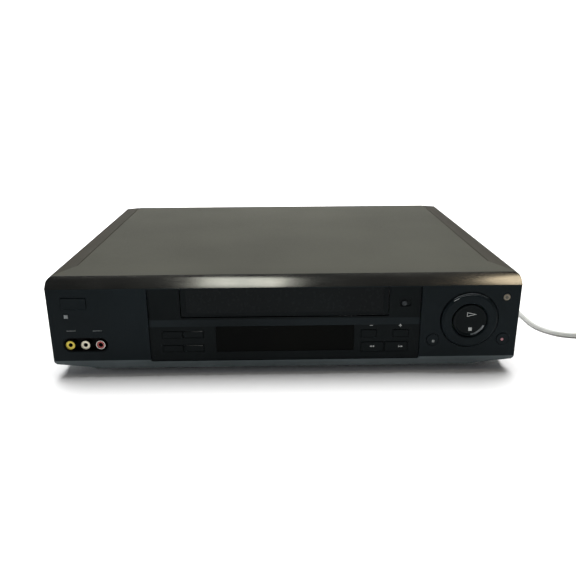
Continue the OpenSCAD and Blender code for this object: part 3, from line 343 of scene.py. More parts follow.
# Lacquered steel board of the flat capstan motor: dull green.
motorBoard = {
    "name": "motorBoardLacquer", "dark": "3f5340", "light": "52684f", "patchMm": 18,
    "grainMm": 1.5, "roughness": (0.3, 0.42), "bump": 0.08, "reliefMm": 0.04,
}
# Moulded rubber: dull, with a dry bloom.
blackRubber = {
    "name": "mouldedRubber", "dark": "131313", "light": "1d1d1c", "patchMm": 10,
    "grainMm": 0.8, "roughness": (0.62, 0.78), "bump": 0.15, "reliefMm": 0.05,
}
# Grey vinyl of the lead: satin, a little uneven where it was extruded.
leadVinyl = {
    "name": "extrudedLeadVinyl", "dark": "a2a39f", "light": "b5b6b2", "patchMm": 35,
    "grainMm": 1.6, "roughness": (0.38, 0.5), "bump": 0.06, "reliefMm": 0.04,
}
# Phono socket colours: glossy moulded nylon.
jackYellow = {
    "name": "mouldedJackYellow", "dark": "c6b02c", "light": "dac53e", "patchMm": 6,
    "grainMm": 1, "roughness": (0.25, 0.35), "bump": 0.03, "reliefMm": 0.02,
}
jackWhite = {**jackYellow, "name": "mouldedJackWhite", "dark": "cfc8b0", "light": "e2dcc6"}
jackRed = {**jackYellow, "name": "mouldedJackRed", "dark": "7c1d1c", "light": "962a27"}
# Frosted acrylic over the remote sensor: grey, and finely grained.
sensorGrey = {
    "name": "sensorDiffuser", "dark": "676c6d", "light": "7f8485", "patchMm": 2,
    "grainMm": 0.6, "roughness": (0.3, 0.45), "bump": 0.1, "reliefMm": 0.03,
}
# Moulded ABS of the small eject and preset caps: satin, one grey and one bronze.
ejectGrey = {
    "name": "mouldedEjectGrey", "dark": "24282a", "light": "303436", "patchMm": 4,
    "grainMm": 0.8, "roughness": (0.3, 0.42), "specular": 0.12, "bump": 0.04, "reliefMm": 0.02,
}
presetBronze = {
    "name": "mouldedPresetBronze", "dark": "5f5747", "light": "786e5a", "patchMm": 4,
    "grainMm": 0.8, "roughness": (0.3, 0.42), "bump": 0.04, "reliefMm": 0.02,
}
# Display tube: dark glass over a grey-green phosphor plate.
tubeGlass = {
    "name": "displayTubeGlass", "dark": "17231f", "light": "22322c", "patchMm": 12,
    "grainMm": 4, "roughness": (0.06, 0.12), "bump": 0, "reliefMm": 0.05,
}
# Pad-printed ink of the symbols: flat, light grey, a little worn.
symbolInk = {
    "name": "printedInkGrey", "dark": "8f9391", "light": "abaeac", "patchMm": 3,
    "grainMm": 0.7, "roughness": (0.45, 0.6), "bump": 0.02, "reliefMm": 0.01,
}
recordInk = {**symbolInk, "name": "printedInkRed", "dark": "a46870", "light": "ba7e86"}
inkBronze = {**symbolInk, "name": "printedInkBronze", "dark": "35322a", "light": "454136"}

finishes = {}
for look in (frontAbs, lipPaintedReflection, ledgeLitAbs, shadeAbs, polishedEdge, rimPaintedHighlight, bayAbs, doorAbs, stripMetal,
             smokedAcrylic, coverPaint, coverBand, coverEdge, rearPaint, zincSteel, leverSteel, tinPlate,
             turnedAluminium, groundSteel, nickelPlate, whiteAcetal, castBrass, boardResist, chipResin,
             canSleeve, coreVarnish, motorBoard, blackRubber, leadVinyl, jackYellow, jackWhite, jackRed,
             sensorGrey, ejectGrey, presetBronze, tubeGlass, symbolInk, recordInk, inkBronze):
    finishes[look["name"]] = makeSurface(look)
print("materials made:", len(finishes))


# mains lead: free stretch and coil, with the same points as the solid

leadSetup = {  # mm
    "diameter": 5,
    "turnGap": 0.6,
    "lift": 0.3,  # air between the lead and the floor
    "fall": [(183, 180, 30), (183, 190, 30), (183, 200, 28.4), (183, 209, 24.6), (183.5, 217, 18.5),
             (184.5, 224, 11.5), (187, 232, 6), (191, 240, 3.4)],
    "laid": [(198, 248), (208, 254), (220, 256), (232, 254), (244, 249), (254, 241), (262, 231),
             (267, 219), (270, 206), (272, 192), (273, 178), (274, 164), (275, 150), (275.5, 136),
             (276, 122), (276, 108), (276, 94), (276, 80), (276, 66), (276, 52), (276, 38), (276, 24),
             (276, 10), (276, -4), (276, -18), (276.5, -32), (277, -44), (278.5, -55), (283, -65.5),
             (290.5, -74.5), (300, -80.5), (311, -83.4), (322, -84), (335, -84), (345, -84)],
    "turns": 3,  # in each of the two layers
    "innerRadius": 21.5,
    "coilX": 352,
    "entryY": -84,
    "stepsPerTurn": 24,
    "climbTurns": 0.5,
    "tailRadius": 24,
    "tailStep": 15,  # degrees
    "tailEnd": 6,
    "smoothSteps": 3,
    "roundness": 4,
}


def climb(share):  # 0 to 1 with level ends, for the coil's way up to its second layer
    share = min(1, max(0, share))
    return share * share * (3 - 2 * share)


def leadPoints():
    setup = leadSetup
    pitch = setup["diameter"] + setup["turnGap"]
    laidZ = setup["diameter"] / 2 + setup["lift"]
    points = list(setup["fall"]) + [(x, y, laidZ) for x, y in setup["laid"]]
    outer = setup["innerRadius"] + setup["turns"] * pitch
    centreX, centreY = setup["coilX"], setup["entryY"] - outer
    for step in range(2 * setup["turns"] * setup["stepsPerTurn"] + 1):
        turn = step / setup["stepsPerTurn"]
        radius = setup["innerRadius"] + abs(setup["turns"] - turn) * pitch
        angle = 2 * math.pi * turn
        z = laidZ + pitch * climb((turn - setup["turns"]) / setup["climbTurns"] + 0.5)
        points.append((centreX + radius * math.sin(angle), centreY + radius * math.cos(angle), z))
    tail = setup["tailRadius"]
    for degrees in range(setup["tailStep"], 91, setup["tailStep"]):
        angle = math.radians(degrees)
        x = centreX + tail * math.sin(angle)
        points.append((x, setup["entryY"] + tail * (1 - math.cos(angle)), laidZ + pitch))
    points.append((centreX + tail, setup["entryY"] + tail + setup["tailEnd"], laidZ + pitch))
    return [Vector([mm(v) for v in p]) for p in points]


def smoothLine(points, steps):  # Catmull-Rom through every point
    ends = [2 * points[0] - points[1], *points, 2 * points[-1] - points[-2]]
    line = []
    for a, b, c, d in zip(ends, ends[1:], ends[2:], ends[3:]):
        for k in range(steps):
            t = k / steps
            line.append(0.5 * (2 * b + (c - a) * t + (2 * a - 5 * b + 4 * c - d) * t ** 2
                               + (3 * b - a - 3 * c + d) * t ** 3))
    return line + [points[-1]]


def makeLead():
    line = smoothLine(leadPoints(), leadSetup["smoothSteps"])
    data = bpy.data.curves.new("mainsLead", "CURVE")
    data.dimensions = "3D"
    data.bevel_depth = mm(leadSetup["diameter"] / 2)
    data.bevel_resolution = leadSetup["roundness"]
    data.use_fill_caps = True
    spline = data.splines.new("POLY")
    spline.points.add(len(line) - 1)
    for spot, place in zip(spline.points, line):
        spot.co = (*place, 1)
    data.materials.append(finishes["extrudedLeadVinyl"])
    lead = bpy.data.objects.new("mainsLead", data)
    bpy.context.scene.collection.objects.link(lead)
    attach(lead, "root")
    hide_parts("mains_cord", "cord_coil")


# finish of each CAD node

nodeFinishes = {
    "mouldedAbsFront": ["front_bezel", "shuttle_ring", "power_button", "pause_button", "record_button"],
    "mouldedAbsBay": ["centre_fascia", "setup_button", "source_button", "input_button", "clock_button",
                      "channel_down_button", "channel_up_button", "rewind_button", "forward_button",
                      "play_stop_key"],
    "polishedAbsDoor": ["cassette_door"],
    "brushedStripLacquer": ["trim_strip"],
    "smokedAcrylic": ["display_window"],
    "displayTubeGlass": ["display_tube"],
    "boardSolderResist": ["control_boards", "main_board"],
    "nickelPlate": ["tact_switches", "jack_shells"],
    "sensorDiffuser": ["remote_window"],
    "mouldedJackYellow": ["yellow_jack"],
    "mouldedJackWhite": ["white_jack"],
    "mouldedJackRed": ["red_jack"],
    "zincPlatedSteel": ["bottom_chassis", "transport_plate", "lift_frame", "cassette_holder",
                        "loading_motor"],
    "texturedCoverPaint": ["top_cover"],
    "satinRearPaint": ["rear_panel", "cover_screws", "rear_jack_block"],
    "mouldedRubber": ["feet", "pinch_roller"],
    "varnishedLaminations": ["transformer"],
    "tinPlate": ["tuner_box"],
    "turnedAluminium": ["lower_drum", "upper_drum"],
    "motorBoardLacquer": ["capstan_motor"],
    "phosphatedSteel": ["lift_carriage", "pinch_arm", "tape_heads"],
    "groundSteel": ["capstan"],
    "whiteAcetal": ["supply_reel", "takeup_reel", "idler_arm", "cam_gear", "worm"],
    "castBrass": ["supply_guide", "takeup_guide"],
    "mouldedEjectGrey": ["eject_button"],
    "mouldedPresetBronze": ["preset_button"],
    "extrudedLeadVinyl": ["strain_relief", "plug", "mains_cord", "cord_coil"],
}


def finishNodes():
    for name, members in nodeFinishes.items():
        for member in members:
            mesh = nodes[member].data
            mesh.materials.clear()
            mesh.materials.append(finishes[name])


finishNodes()
print("nodes finished")


# nodes whose edges are softened: a copy with its doubles merged and its edges bevelled

softSetup = {
    "segments": 3,
    "sharpAngle": 32, "smoothAngle": 12, "flatAngle": 0.6,  # degrees
    "weld": 0.002,  # mm
}
softEdges = {  # width of the bevel in mm; 0 where there is none, or where it goes by place
    "front_bezel": 0, "centre_fascia": 0.2, "cassette_door": 0.18, "display_window": 0.15,
    "trim_strip": 0.08, "remote_window": 0.3,
    "power_button": 0.3, "setup_button": 0.25, "source_button": 0.45, "input_button": 0.25,
    "clock_button": 0.45, "channel_down_button": 0.25, "channel_up_button": 0.25,
    "rewind_button": 0.3, "forward_button": 0.3, "eject_button": 0.3, "preset_button": 0.3,
    "pause_button": 0.4, "record_button": 0.4, "shuttle_ring": 0.3, "play_stop_key": 0.2,
    "yellow_jack": 0.25, "white_jack": 0.25, "red_jack": 0.25, "jack_shells": 0.08,
    "top_cover": 0.2, "rear_panel": 0.15, "feet": 0.5, "plug": 0.25, "cover_screws": 0.2,
    "rear_jack_block": 0.25, "transformer": 0.4, "tuner_box": 0.4, "capstan_motor": 0.3,
    "upper_drum": 0.3, "lower_drum": 0.3, "supply_reel": 0.25, "takeup_reel": 0.25,
    "pinch_roller": 0.4, "capstan": 0.2, "loading_motor": 0.5, "tape_heads": 0.3,
    "supply_guide": 0.25, "takeup_guide": 0.25, "display_tube": 0.5, "main_board": 0,
}
smoothAngles = {"top_cover": 3, "shuttle_ring": 7}  # degrees; the cover's slight folds stay crisp

# Flats that must not become one face each: the ring's and the board's have holes, and the cover's
# meet at slight folds.
keptFacets = ("shuttle_ring", "top_cover", "main_board")

# The front's edges are rounded by place: its outline most, then the bay's rim, then the small holes.
frontRims = {  # mm
    "before": -160.7,  # y: only edges in front of it are rounded
    "outline": {"half": 214.9, "width": 1.2},
    "bay": {"half": 124.7, "low": 15.1, "reach": 1.6, "width": 0.6},
    "holes": {"inner": 127.7, "outer": 212.9, "low": 21.1, "high": 84, "width": 0.22},
    "segments": 3,
}


def camel(name):
    first, *rest = name.split("_")
    return first + "".join(word.capitalize() for word in rest)


def copyNode(name):
    piece = bpy.data.objects.new(camel(name), nodes[name].data.copy())
    bpy.context.scene.collection.objects.link(piece)
    openEdit(piece)
    bpy.ops.mesh.customdata_custom_splitnormals_clear()
    bpy.ops.mesh.select_all(action="SELECT")
    bpy.ops.mesh.remove_doubles(threshold=mm(softSetup["weld"]))
    if name not in keptFacets:
        bpy.ops.mesh.dissolve_limited(angle_limit=math.radians(softSetup["flatAngle"]))
    closeEdit()
    return piece


def roundFrontRims(piece):
    outline, bay, holes = frontRims["outline"], frontRims["bay"], frontRims["holes"]

    def onOutline(middle):
        return abs(middle.x) > mm(outline["half"])

    def onBay(middle):
        beside = abs(abs(middle.x) - mm(bay["half"])) < mm(bay["reach"])
        below = abs(middle.x) < mm(bay["half"]) and abs(middle.z - mm(bay["low"])) < mm(bay["reach"])
        return beside or below

    def onHole(middle):
        beside = mm(holes["inner"]) < abs(middle.x) < mm(holes["outer"])
        return beside and mm(holes["low"]) < middle.z < mm(holes["high"])

    openEdit(piece, "EDGE")
    for rim, test in ((outline, onOutline), (bay, onBay), (holes, onHole)):
        pickEdges(piece, lambda middle: middle.y < mm(frontRims["before"]) and test(middle))
        bpy.ops.mesh.bevel(offset=mm(rim["width"]), segments=frontRims["segments"], affect="EDGES")
    closeEdit()


dial = {  # mm: the ring's outer edge comes forward and is rounded
    "centre": (169.35, 53.4),
    "edge": {"radius": 26, "y": -161.9, "near": 0.08, "facet": 0.1,
             "forward": 1, "width": 1.2, "segments": 6},
}


def dialReach(place):  # distance from the dial's axis in metres
    x, z = dial["centre"]
    return math.hypot(place.x - mm(x), place.z - mm(z))


def roundRing(piece):
    edge = dial["edge"]
    openEdit(piece, "VERT")
    pick(piece, "verts", lambda vert: abs(dialReach(vert.co) - mm(edge["radius"])) < mm(edge["near"])
         and abs(vert.co.y - mm(edge["y"])) < mm(edge["near"]))
    bpy.ops.transform.translate(value=(0, -mm(edge["forward"]), 0))
    setMode("EDGE")
    pickEdges(piece, lambda middle: middle.y < mm(edge["y"] - edge["forward"] / 2)
              and dialReach(middle) > mm(edge["radius"] - edge["facet"]))
    bpy.ops.mesh.bevel(offset=mm(edge["width"]), segments=edge["segments"], affect="EDGES")
    closeEdit()


def softenNode(name, width):
    piece = copyNode(name)
    if name == "shuttle_ring":
        roundRing(piece)
    if name == "front_bezel":
        roundFrontRims(piece)
    if width:
        bevel = piece.modifiers.new("softEdge", "BEVEL")
        bevel.width = mm(width)
        bevel.segments = softSetup["segments"]
        bevel.limit_method = "ANGLE"
        bevel.angle_limit = math.radians(softSetup["sharpAngle"])
        bevel.use_clamp_overlap = False
        applyModifiers(piece)
    smoothByAngle(piece, smoothAngles.get(name, softSetup["smoothAngle"]))
    finish = next(kind for kind, members in nodeFinishes.items() if name in members)
    finishPiece(piece, camel(name), finish, bodyOf[name])
    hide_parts(name)
    return piece


softened = {name: softenNode(name, width) for name, width in softEdges.items()}
print("edges softened:", len(softened))


# faces of one piece that have another finish

def paintFaces(piece, finish, wanted):
    piece.data.materials.append(finishes[finish])
    index = len(piece.data.materials) - 1
    for face in piece.data.polygons:
        if wanted(face.center * 1000, face.normal):
            face.material_index = index


# Where the three front sockets are, for their colours, bores and well.
frontSockets = {"yellow_jack": -197.3, "white_jack": -183.5, "red_jack": -169.7}  # x in mm
socketZ = 33

paintSetup = {  # places in mm; up and front limit the normal's z and y
    "lip": {"high": 17, "front": -0.1},
    "ledge": {"low": 48, "high": 57, "up": 0.1, "front": -0.5},
    "doorBorder": {"near": -157.7, "far": -157.2, "front": -0.9},
    "strip": {"low": 96.3},
    "buttonEdge": {"up": 0.3, "front": -0.05},
    "ringArc": {"reach": 24.6, "bearings": (-37, 36), "front": (-0.85, -0.02), "near": -161.2},
    "keyArc": {"reach": 13, "bearings": (112, 172), "front": (-0.97, -0.7), "up": 0.05},
    "coverBand": {"low": 95, "up": 0.5, "front": -0.01},
    "coverEdge": {"side": 195.3, "front": -0.01},
    "sleeve": {"near": -100, "reach": 6.9, "front": -0.3},
    "sleeveColours": {"mouldedJackYellow": "yellow_jack", "mouldedJackWhite": "white_jack"},
    "core": {"bore": 2.1, "boreDepth": -158, "front": -0.3},
}


def paintFront():
    lip, ledge, border = (paintSetup[name] for name in ("lip", "ledge", "doorBorder"))
    strip, top = paintSetup["strip"], paintSetup["buttonEdge"]
    # The lip's lighter finish is a painted reflection of the floor.
    paintFaces(softened["front_bezel"], "mouldedAbsLip",
               lambda at, way: at.z < lip["high"] and way.y < lip["front"])
    # The ledge's lighter finish is painted light.
    paintFaces(softened["centre_fascia"], "mouldedAbsLedge",
               lambda at, way: ledge["low"] < at.z < ledge["high"] and way.z > ledge["up"]
               and way.y < ledge["front"])
    # The door's sunk border takes the bay's darker finish as painted shade.
    paintFaces(softened["cassette_door"], "mouldedAbsBay",
               lambda at, way: border["near"] < at.y < border["far"] and way.y < border["front"])
    # The strip's top edge, against the cover, is painted shade.
    paintFaces(softened["trim_strip"], "mouldedAbsSunk", lambda at, way: at.z > strip["low"])
    for name in ("source_button", "clock_button"):
        paintFaces(softened[name], "polishedAbsEdge",
                   lambda at, way: way.z > top["up"] and way.y < top["front"])


def paintDial():
    x, z = dial["centre"]
    ring, key = paintSetup["ringArc"], paintSetup["keyArc"]

    def onArc(at, way, arc):  # bearings run clockwise from the top
        bearing = math.degrees(math.atan2(at.x - x, at.z - z))
        around = arc["bearings"][0] < bearing < arc["bearings"][1]
        facing = arc["front"][0] < way.y < arc["front"][1]
        return math.hypot(at.x - x, at.z - z) > arc["reach"] and around and facing

    # Painted highlights: light arcs on the top of the ring's rounded rim and on the lower right of the key's
    # rim.
    paintFaces(softened["shuttle_ring"], "wornAbsRim",
               lambda at, way: onArc(at, way, ring) and at.y < ring["near"])
    paintFaces(softened["play_stop_key"], "wornAbsRim",
               lambda at, way: onArc(at, way, key) and way.z > key["up"])


def paintCover():
    band, edge = paintSetup["coverBand"], paintSetup["coverEdge"]
    # Painted light on the front fold, and painted shade on the side folds.
    paintFaces(softened["top_cover"], "texturedCoverBand",
               lambda at, way: at.z > band["low"] and way.z > band["up"] and way.y < band["front"])
    paintFaces(softened["top_cover"], "texturedCoverEdge",
               lambda at, way: abs(at.x) > edge["side"] and way.y > edge["front"])


def paintSockets():
    sleeve, core = paintSetup["sleeve"], paintSetup["core"]
    sleeves = softened["jack_shells"]
    for finish, jack in paintSetup["sleeveColours"].items():
        x = frontSockets[jack]
        paintFaces(sleeves, finish, lambda at, way: at.y < sleeve["near"] and way.y < sleeve["front"]
                   and abs(at.x - x) < sleeve["reach"])
    # The sleeves' sides are painted shade.
    paintFaces(sleeves, "mouldedAbsSunk", lambda at, way: at.y < sleeve["near"] and way.y > sleeve["front"])
    # The cores' bores and all but their front faces are painted shade.
    for jack, x in frontSockets.items():
        paintFaces(softened[jack], "mouldedAbsSunk", lambda at, way: way.y > core["front"] or (
            math.hypot(at.x - x, at.z - socketZ) < core["bore"] and at.y > core["boreDepth"]))


# What stands on the board, by place: z of its underside and top, y of the heat sink, y before which
# the left side has chips. The rest are capacitors.
boardParts = {"below": 13.9, "top": 15.7, "sink": (-42, -7), "chips": 30}  # mm


def paintBoard():
    board, setup = softened["main_board"], boardParts

    def inSink(at):
        return at.x > 0 and setup["sink"][0] < at.y < setup["sink"][1]

    def isChip(at):
        return at.x < 0 and at.y < setup["chips"]

    paintFaces(board, "zincPlatedSteel", lambda at, way: at.z < setup["below"])
    paintFaces(board, "turnedAluminium", lambda at, way: at.z > setup["top"] and inSink(at))
    paintFaces(board, "chipResin", lambda at, way: at.z > setup["top"] and isChip(at))
    paintFaces(board, "capacitorSleeve",
               lambda at, way: at.z > setup["top"] and not inSink(at) and not isChip(at))


paintFront()
paintDial()
paintCover()
paintSockets()
paintBoard()
print("regions painted")


# The bores of the front cores are wider than their CAD pins' holes.
coreBore = {"reach": 1.9, "wider": 1.2, "front": -150}  # mm, but for the factor wider


def widenBores():
    wider = coreBore["wider"]
    for name, x in frontSockets.items():
        openEdit(softened[name], "VERT")
        pick(softened[name], "verts", lambda vert: vert.co.y < mm(coreBore["front"])
             and math.hypot(vert.co.x - mm(x), vert.co.z - mm(socketZ)) < mm(coreBore["reach"]))
        bpy.ops.transform.resize(value=(wider, 1, wider), center_override=(mm(x), 0, mm(socketZ)))
        closeEdit()


widenBores()


# black well behind the front sockets, dead black as painted shade, so that their bodies don't show in the
# opening

jackWell = {  # mm
    "corners": 64,
    "radius": 6.75,
    "pitch": 13.8,
    "front": -160.4,
    "back": -152.8,
    "wall": 0.7,
    "floorDepth": 6.4,
    "middle": 0.01,  # points nearer to the middle stay where they are
    "facing": -0.9,
    "smoothAngle": 30,
}


def makeJackWell():
    setup = jackWell
    x, y = frontSockets["white_jack"], (setup["front"] + setup["back"]) / 2
    bpy.ops.mesh.primitive_cylinder_add(
        vertices=setup["corners"], radius=mm(setup["radius"]), depth=mm(setup["back"] - setup["front"]),
        rotation=(math.radians(90), 0, 0), location=(mm(x), mm(y), mm(socketZ)))
    well = bpy.context.active_object
    settle(well)
    openEdit(well, "VERT")
    for side in (-1, 1):  # both halves move apart, which makes the oval
        pick(well, "verts", lambda vert: (vert.co.x - mm(x)) * side > mm(setup["middle"]))
        bpy.ops.transform.translate(value=(side * mm(setup["pitch"]), 0, 0))
    setMode("FACE")
    pick(well, "faces", lambda face: face.normal.y < setup["facing"])
    bpy.ops.mesh.inset(thickness=mm(setup["wall"]))
    bpy.ops.mesh.extrude_region_move(TRANSFORM_OT_translate={"value": (0, mm(setup["floorDepth"]), 0)})
    closeEdit()
    smoothByAngle(well, setup["smoothAngle"])
    finishPiece(well, "jackWell", "mouldedAbsSunk", "root")


makeJackWell()
print("jack well made")


# ribbed strain relief: a flange, a neck and ribs that get smaller towards the lead

strainRelief = {  # mm
    "x": 183, "z": 30,
    "corners": 32,
    "flange": [(152.2, 3.9), (153.1, 6.4), (154.6, 6.55), (155, 6.2)],  # y and radius
    "collar": [(155.2, 5), (157.6, 4.9)],
    "ribs": 7,
    "start": 158, "end": 179.9,
    "ribRadius": (4.5, 3.3),
    "neckRadius": (3.5, 2.9),
    "ribShares": (0.15, 0.5, 0.65),  # of one step: the rib's start and end, and the neck after it
    "bevel": 0.25, "segments": 2,
    "smoothAngle": 40,
}


def between(ends, share):
    return ends[0] + (ends[1] - ends[0]) * share


def reliefProfile():
    setup = strainRelief
    line = list(setup["flange"]) + list(setup["collar"])
    step = (setup["end"] - setup["start"]) / setup["ribs"]
    rise, fall, foot = setup["ribShares"]
    for k in range(setup["ribs"]):
        share = k / (setup["ribs"] - 1)
        rib, neck = between(setup["ribRadius"], share), between(setup["neckRadius"], share)
        y = setup["start"] + k * step
        line += [(y, neck), (y + rise * step, rib), (y + fall * step, rib), (y + foot * step, neck)]
    return line + [(setup["end"], setup["neckRadius"][1])]


def makeRelief():
    setup = strainRelief
    x, z = mm(setup["x"]), mm(setup["z"])
    profile = reliefProfile()
    bpy.ops.mesh.primitive_circle_add(
        vertices=setup["corners"], radius=mm(profile[0][1]), fill_type="NGON",
        rotation=(math.radians(90), 0, 0), location=(x, mm(profile[0][0]), z))
    relief = bpy.context.active_object
    settle(relief)
    openEdit(relief)
    bpy.ops.mesh.select_all(action="SELECT")
    for (y0, r0), (y1, r1) in zip(profile, profile[1:]):
        bpy.ops.mesh.extrude_region_move(TRANSFORM_OT_translate={"value": (0, mm(y1 - y0), 0)})
        bpy.ops.transform.resize(value=(r1 / r0, 1, r1 / r0), center_override=(x, mm(y1), z))
    bpy.ops.mesh.select_all(action="SELECT")
    bpy.ops.mesh.normals_make_consistent(inside=False)
    closeEdit()
    bevel = relief.modifiers.new("softEdge", "BEVEL")
    bevel.width, bevel.segments, bevel.use_clamp_overlap = mm(setup["bevel"]), setup["segments"], False
    applyModifiers(relief)
    smoothByAngle(relief, setup["smoothAngle"])
    finishPiece(relief, "strainRelief", "extrudedLeadVinyl", "root")
    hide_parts("strain_relief")
    return relief


# printed marks, and one painted highlight dash on the ring: thin ink, laid onto the surface below

markRelief = {"ink": 0.05, "lift": 0.02, "cuts": 3, "start": -190}  # mm, but for the cuts
firstCorner = {3: -90, 4: 45}  # degrees: a triangle points right, and a square stands upright
marks = {  # mm: middles (x, z), half sizes, and the piece that each mark is on
    "playMark": {"corners": 3, "places": [(169.3, 59.1)], "half": (6, 2.5), "line": 0.5,
                 "on": "play_stop_key"},
    "stopMark": {"corners": 4, "places": [(170.3, 44.7)], "half": (1.6, 1.55), "on": "play_stop_key"},
    "pauseMark": {"corners": 4, "places": [(136.6, 32.7), (137.9, 32.7)], "half": (0.32, 1.2),
                  "on": "pause_button"},
    "recordMark": {"corners": 32, "places": [(201.4, 33.7)], "half": (1.3, 1.3), "on": "record_button",
                   "ink": "printedInkRed"},
    "presetMark": {"corners": 24, "places": [(201.7, 74.9)], "half": (1.5, 1.5), "on": "preset_button",
                   "ink": "printedInkBronze"},
    # The ring's dash is a painted highlight: a short light line in grey ink on the ring's face.
    "ringMark": {"corners": 4, "places": [(155.4, 73.6)], "half": (2.6, 0.16), "turn": 30,
                 "on": "shuttle_ring"},
    "minusMark": {"corners": 4, "places": [(79.4, 48.4)], "half": (1.4, 0.3), "on": "centre_fascia"},
    "plusMark": {"corners": 4, "places": [(106.2, 48.1)], "half": (1.4, 0.3), "on": "centre_fascia"},
    "plusStem": {"corners": 4, "places": [(106.2, 48.1)], "half": (0.3, 1.4), "on": "centre_fascia"},
    "rewindMark": {"corners": 3, "places": [(82.1, 27.7), (79.8, 27.7)], "half": (-1.3, 1.1),
                   "on": "rewind_button"},
    "forwardMark": {"corners": 3, "places": [(105.9, 27.3), (108.2, 27.3)], "half": (1.3, 1.1),
                    "on": "forward_button"},
    "socketLine": {"corners": 4, "places": [(-195.4, 46.95), (-171.6, 46.75)], "half": (4.2, 0.1),
                   "on": "front_bezel"},
}


def makeShape(setup, x, z):  # one flat triangle, square or disc, in front of the piece
    corners, start = setup["corners"], mm(markRelief["start"])
    bpy.ops.mesh.primitive_circle_add(
        vertices=corners, radius=mm(math.sqrt(2) if corners == 4 else 1), fill_type="NGON",
        rotation=(0, 0, math.radians(firstCorner.get(corners, 0))))
    shape = bpy.context.active_object
    settle(shape)
    shape.scale = (*setup["half"], 1)
    settle(shape)
    shape.rotation_euler = (math.radians(90), 0, 0)
    shape.location = (mm(x), start, mm(z))
    settle(shape)
    openEdit(shape)
    bpy.ops.mesh.select_all(action="SELECT")
    bpy.ops.transform.rotate(value=math.radians(setup.get("turn", 0)), orient_axis="Y",
                             center_override=(mm(x), start, mm(z)))
    closeEdit()
    return shape


def makeMark(name, setup):
    shapes = [makeShape(setup, x, z) for x, z in setup["places"]]
    for shape in shapes:
        shape.select_set(True)
    bpy.context.view_layer.objects.active = shapes[0]
    bpy.ops.object.join()
    mark = bpy.context.active_object
    openEdit(mark)
    bpy.ops.mesh.select_all(action="SELECT")
    if "line" in setup:
        bpy.ops.mesh.inset(thickness=mm(setup["line"]))
        bpy.ops.mesh.delete(type="FACE")
        bpy.ops.mesh.select_all(action="SELECT")
    bpy.ops.mesh.quads_convert_to_tris()
    bpy.ops.mesh.subdivide(number_cuts=markRelief["cuts"])
    closeEdit()
    laid = mark.modifiers.new("laid", "SHRINKWRAP")
    laid.target = softened[setup["on"]]
    laid.wrap_method = "PROJECT"
    laid.use_project_x = laid.use_project_z = False
    laid.use_project_y = True
    laid.use_negative_direction = False
    laid.use_positive_direction = True
    laid.offset = mm(markRelief["lift"])
    thick = mark.modifiers.new("ink", "SOLIDIFY")
    thick.thickness = mm(markRelief["ink"])
    thick.offset = 1
    applyModifiers(mark)
    finishPiece(mark, name, setup.get("ink", "printedInkGrey"), bodyOf[setup["on"]])


for markName, markSetup in marks.items():
    makeMark(markName, markSetup)
print("marks made:", len(marks))


relief = makeRelief()
print("strain relief made")
makeLead()


# floor and studio light

backdrop = {  # metres
    "width": 9, "front": -3.2, "rear": 2.6, "height": 3.2,
    "bend": 1.3, "bendSegments": 24,
    "near": 0.01,
    "paper": "fbfbfb", "roughness": 0.95, "specular": 0.1,
}


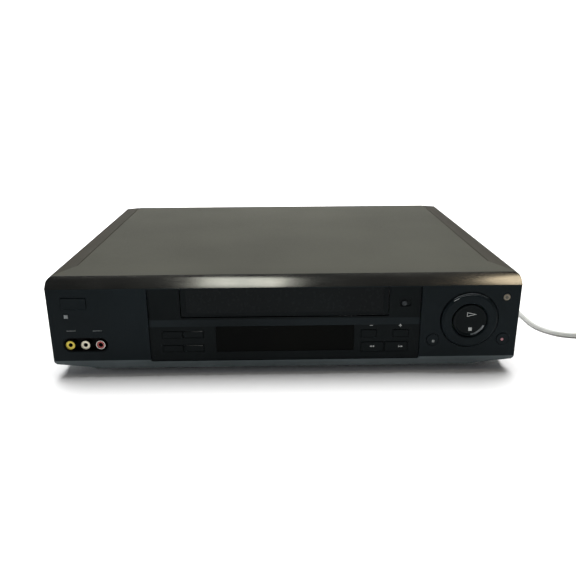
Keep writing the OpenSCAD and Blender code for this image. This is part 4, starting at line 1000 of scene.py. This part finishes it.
def makeBackdrop():  # one sheet of paper: floor, a wide bend, and the wall behind
    setup = backdrop
    depth, rear, near = setup["rear"] - setup["front"], setup["rear"] - setup["near"], setup["near"]
    bpy.ops.mesh.primitive_plane_add(size=1, location=(0, (setup["front"] + setup["rear"]) / 2, 0))
    paper = bpy.context.active_object
    paper.scale = (setup["width"], depth, 1)
    settle(paper)
    openEdit(paper, "EDGE")
    pick(paper, "edges", lambda edge: all(vert.co.y > rear for vert in edge.verts))
    bpy.ops.mesh.extrude_region_move(TRANSFORM_OT_translate={"value": (0, 0, setup["height"])})
    pick(paper, "edges", lambda edge: all(vert.co.y > rear and vert.co.z < near for vert in edge.verts))
    bpy.ops.mesh.bevel(offset=setup["bend"], segments=setup["bendSegments"], affect="EDGES")
    closeEdit()
    makeActive(paper)
    bpy.ops.object.shade_smooth()
    paper.name = "paperBackdrop"
    material = bpy.data.materials.new("palePaper")
    material.use_nodes = True
    shader = material.node_tree.nodes["Principled BSDF"]
    shader.inputs["Base Color"].default_value = hexColour(setup["paper"])
    shader.inputs["Roughness"].default_value = setup["roughness"]
    shader.inputs["Specular IOR Level"].default_value = setup["specular"]
    paper.data.materials.append(material)


lights = {  # metres and watts
    "overhead": {"place": (0, 0.5, 2.0), "aim": (0, 0.1, 0), "size": (2.4, 1.6), "power": 88,
                 "hue": "ffffff"},
    "wallWash": {"place": (0, 0.9, 2.3), "aim": (0, 2.6, 0.9), "size": (3.0, 0.6), "power": 52,
                 "hue": "ffffff"},
    "leftFill": {"place": (-1.5, -1.3, 0.7), "aim": (-0.2, -0.16, 0.05), "size": (0.8, 0.8), "power": 4,
                 "hue": "f2f7ff"},
    "stripGlow": {"place": (-0.09, -0.56, 1.0), "aim": (-0.05, -0.157, 0.09), "size": (0.22, 0.16),
                  "power": 0.34, "hue": "fbfcf6"},
    "warmSide": {"place": (0.64, -0.56, 1.0), "aim": (0.17, -0.157, 0.09), "size": (0.2, 0.16),
                 "power": 0.4, "hue": "ffebcd"},
    "frontGlint": {"place": (-0.17, -1.93, 0.55), "aim": (0.17, -0.16, 0.05), "size": (0.4, 0.4),
                   "power": 1.2, "hue": "ffffff"},
}
roomLight = {"hue": "eef2f6", "strength": 0.04}


def makeLights():
    for name, setup in lights.items():
        data = bpy.data.lights.new(name, "AREA")
        data.shape = "RECTANGLE"
        data.size, data.size_y = setup["size"]
        data.energy = setup["power"]
        data.color = hexColour(setup["hue"])[:3]
        lamp = bpy.data.objects.new(name, data)
        bpy.context.scene.collection.objects.link(lamp)
        lamp.location = setup["place"]
        ray = Vector(setup["aim"]) - Vector(setup["place"])
        lamp.rotation_euler = ray.to_track_quat("-Z", "Y").to_euler()
    world = bpy.data.worlds.new("studioWorld")
    world.use_nodes = True
    background = world.node_tree.nodes["Background"]
    background.inputs["Color"].default_value = hexColour(roomLight["hue"])
    background.inputs["Strength"].default_value = roomLight["strength"]
    bpy.context.scene.world = world
    # Paper comes out white, as in the photograph.
    bpy.context.scene.view_settings.view_transform = "Standard"


makeBackdrop()
makeLights()
print("floor and lights made")
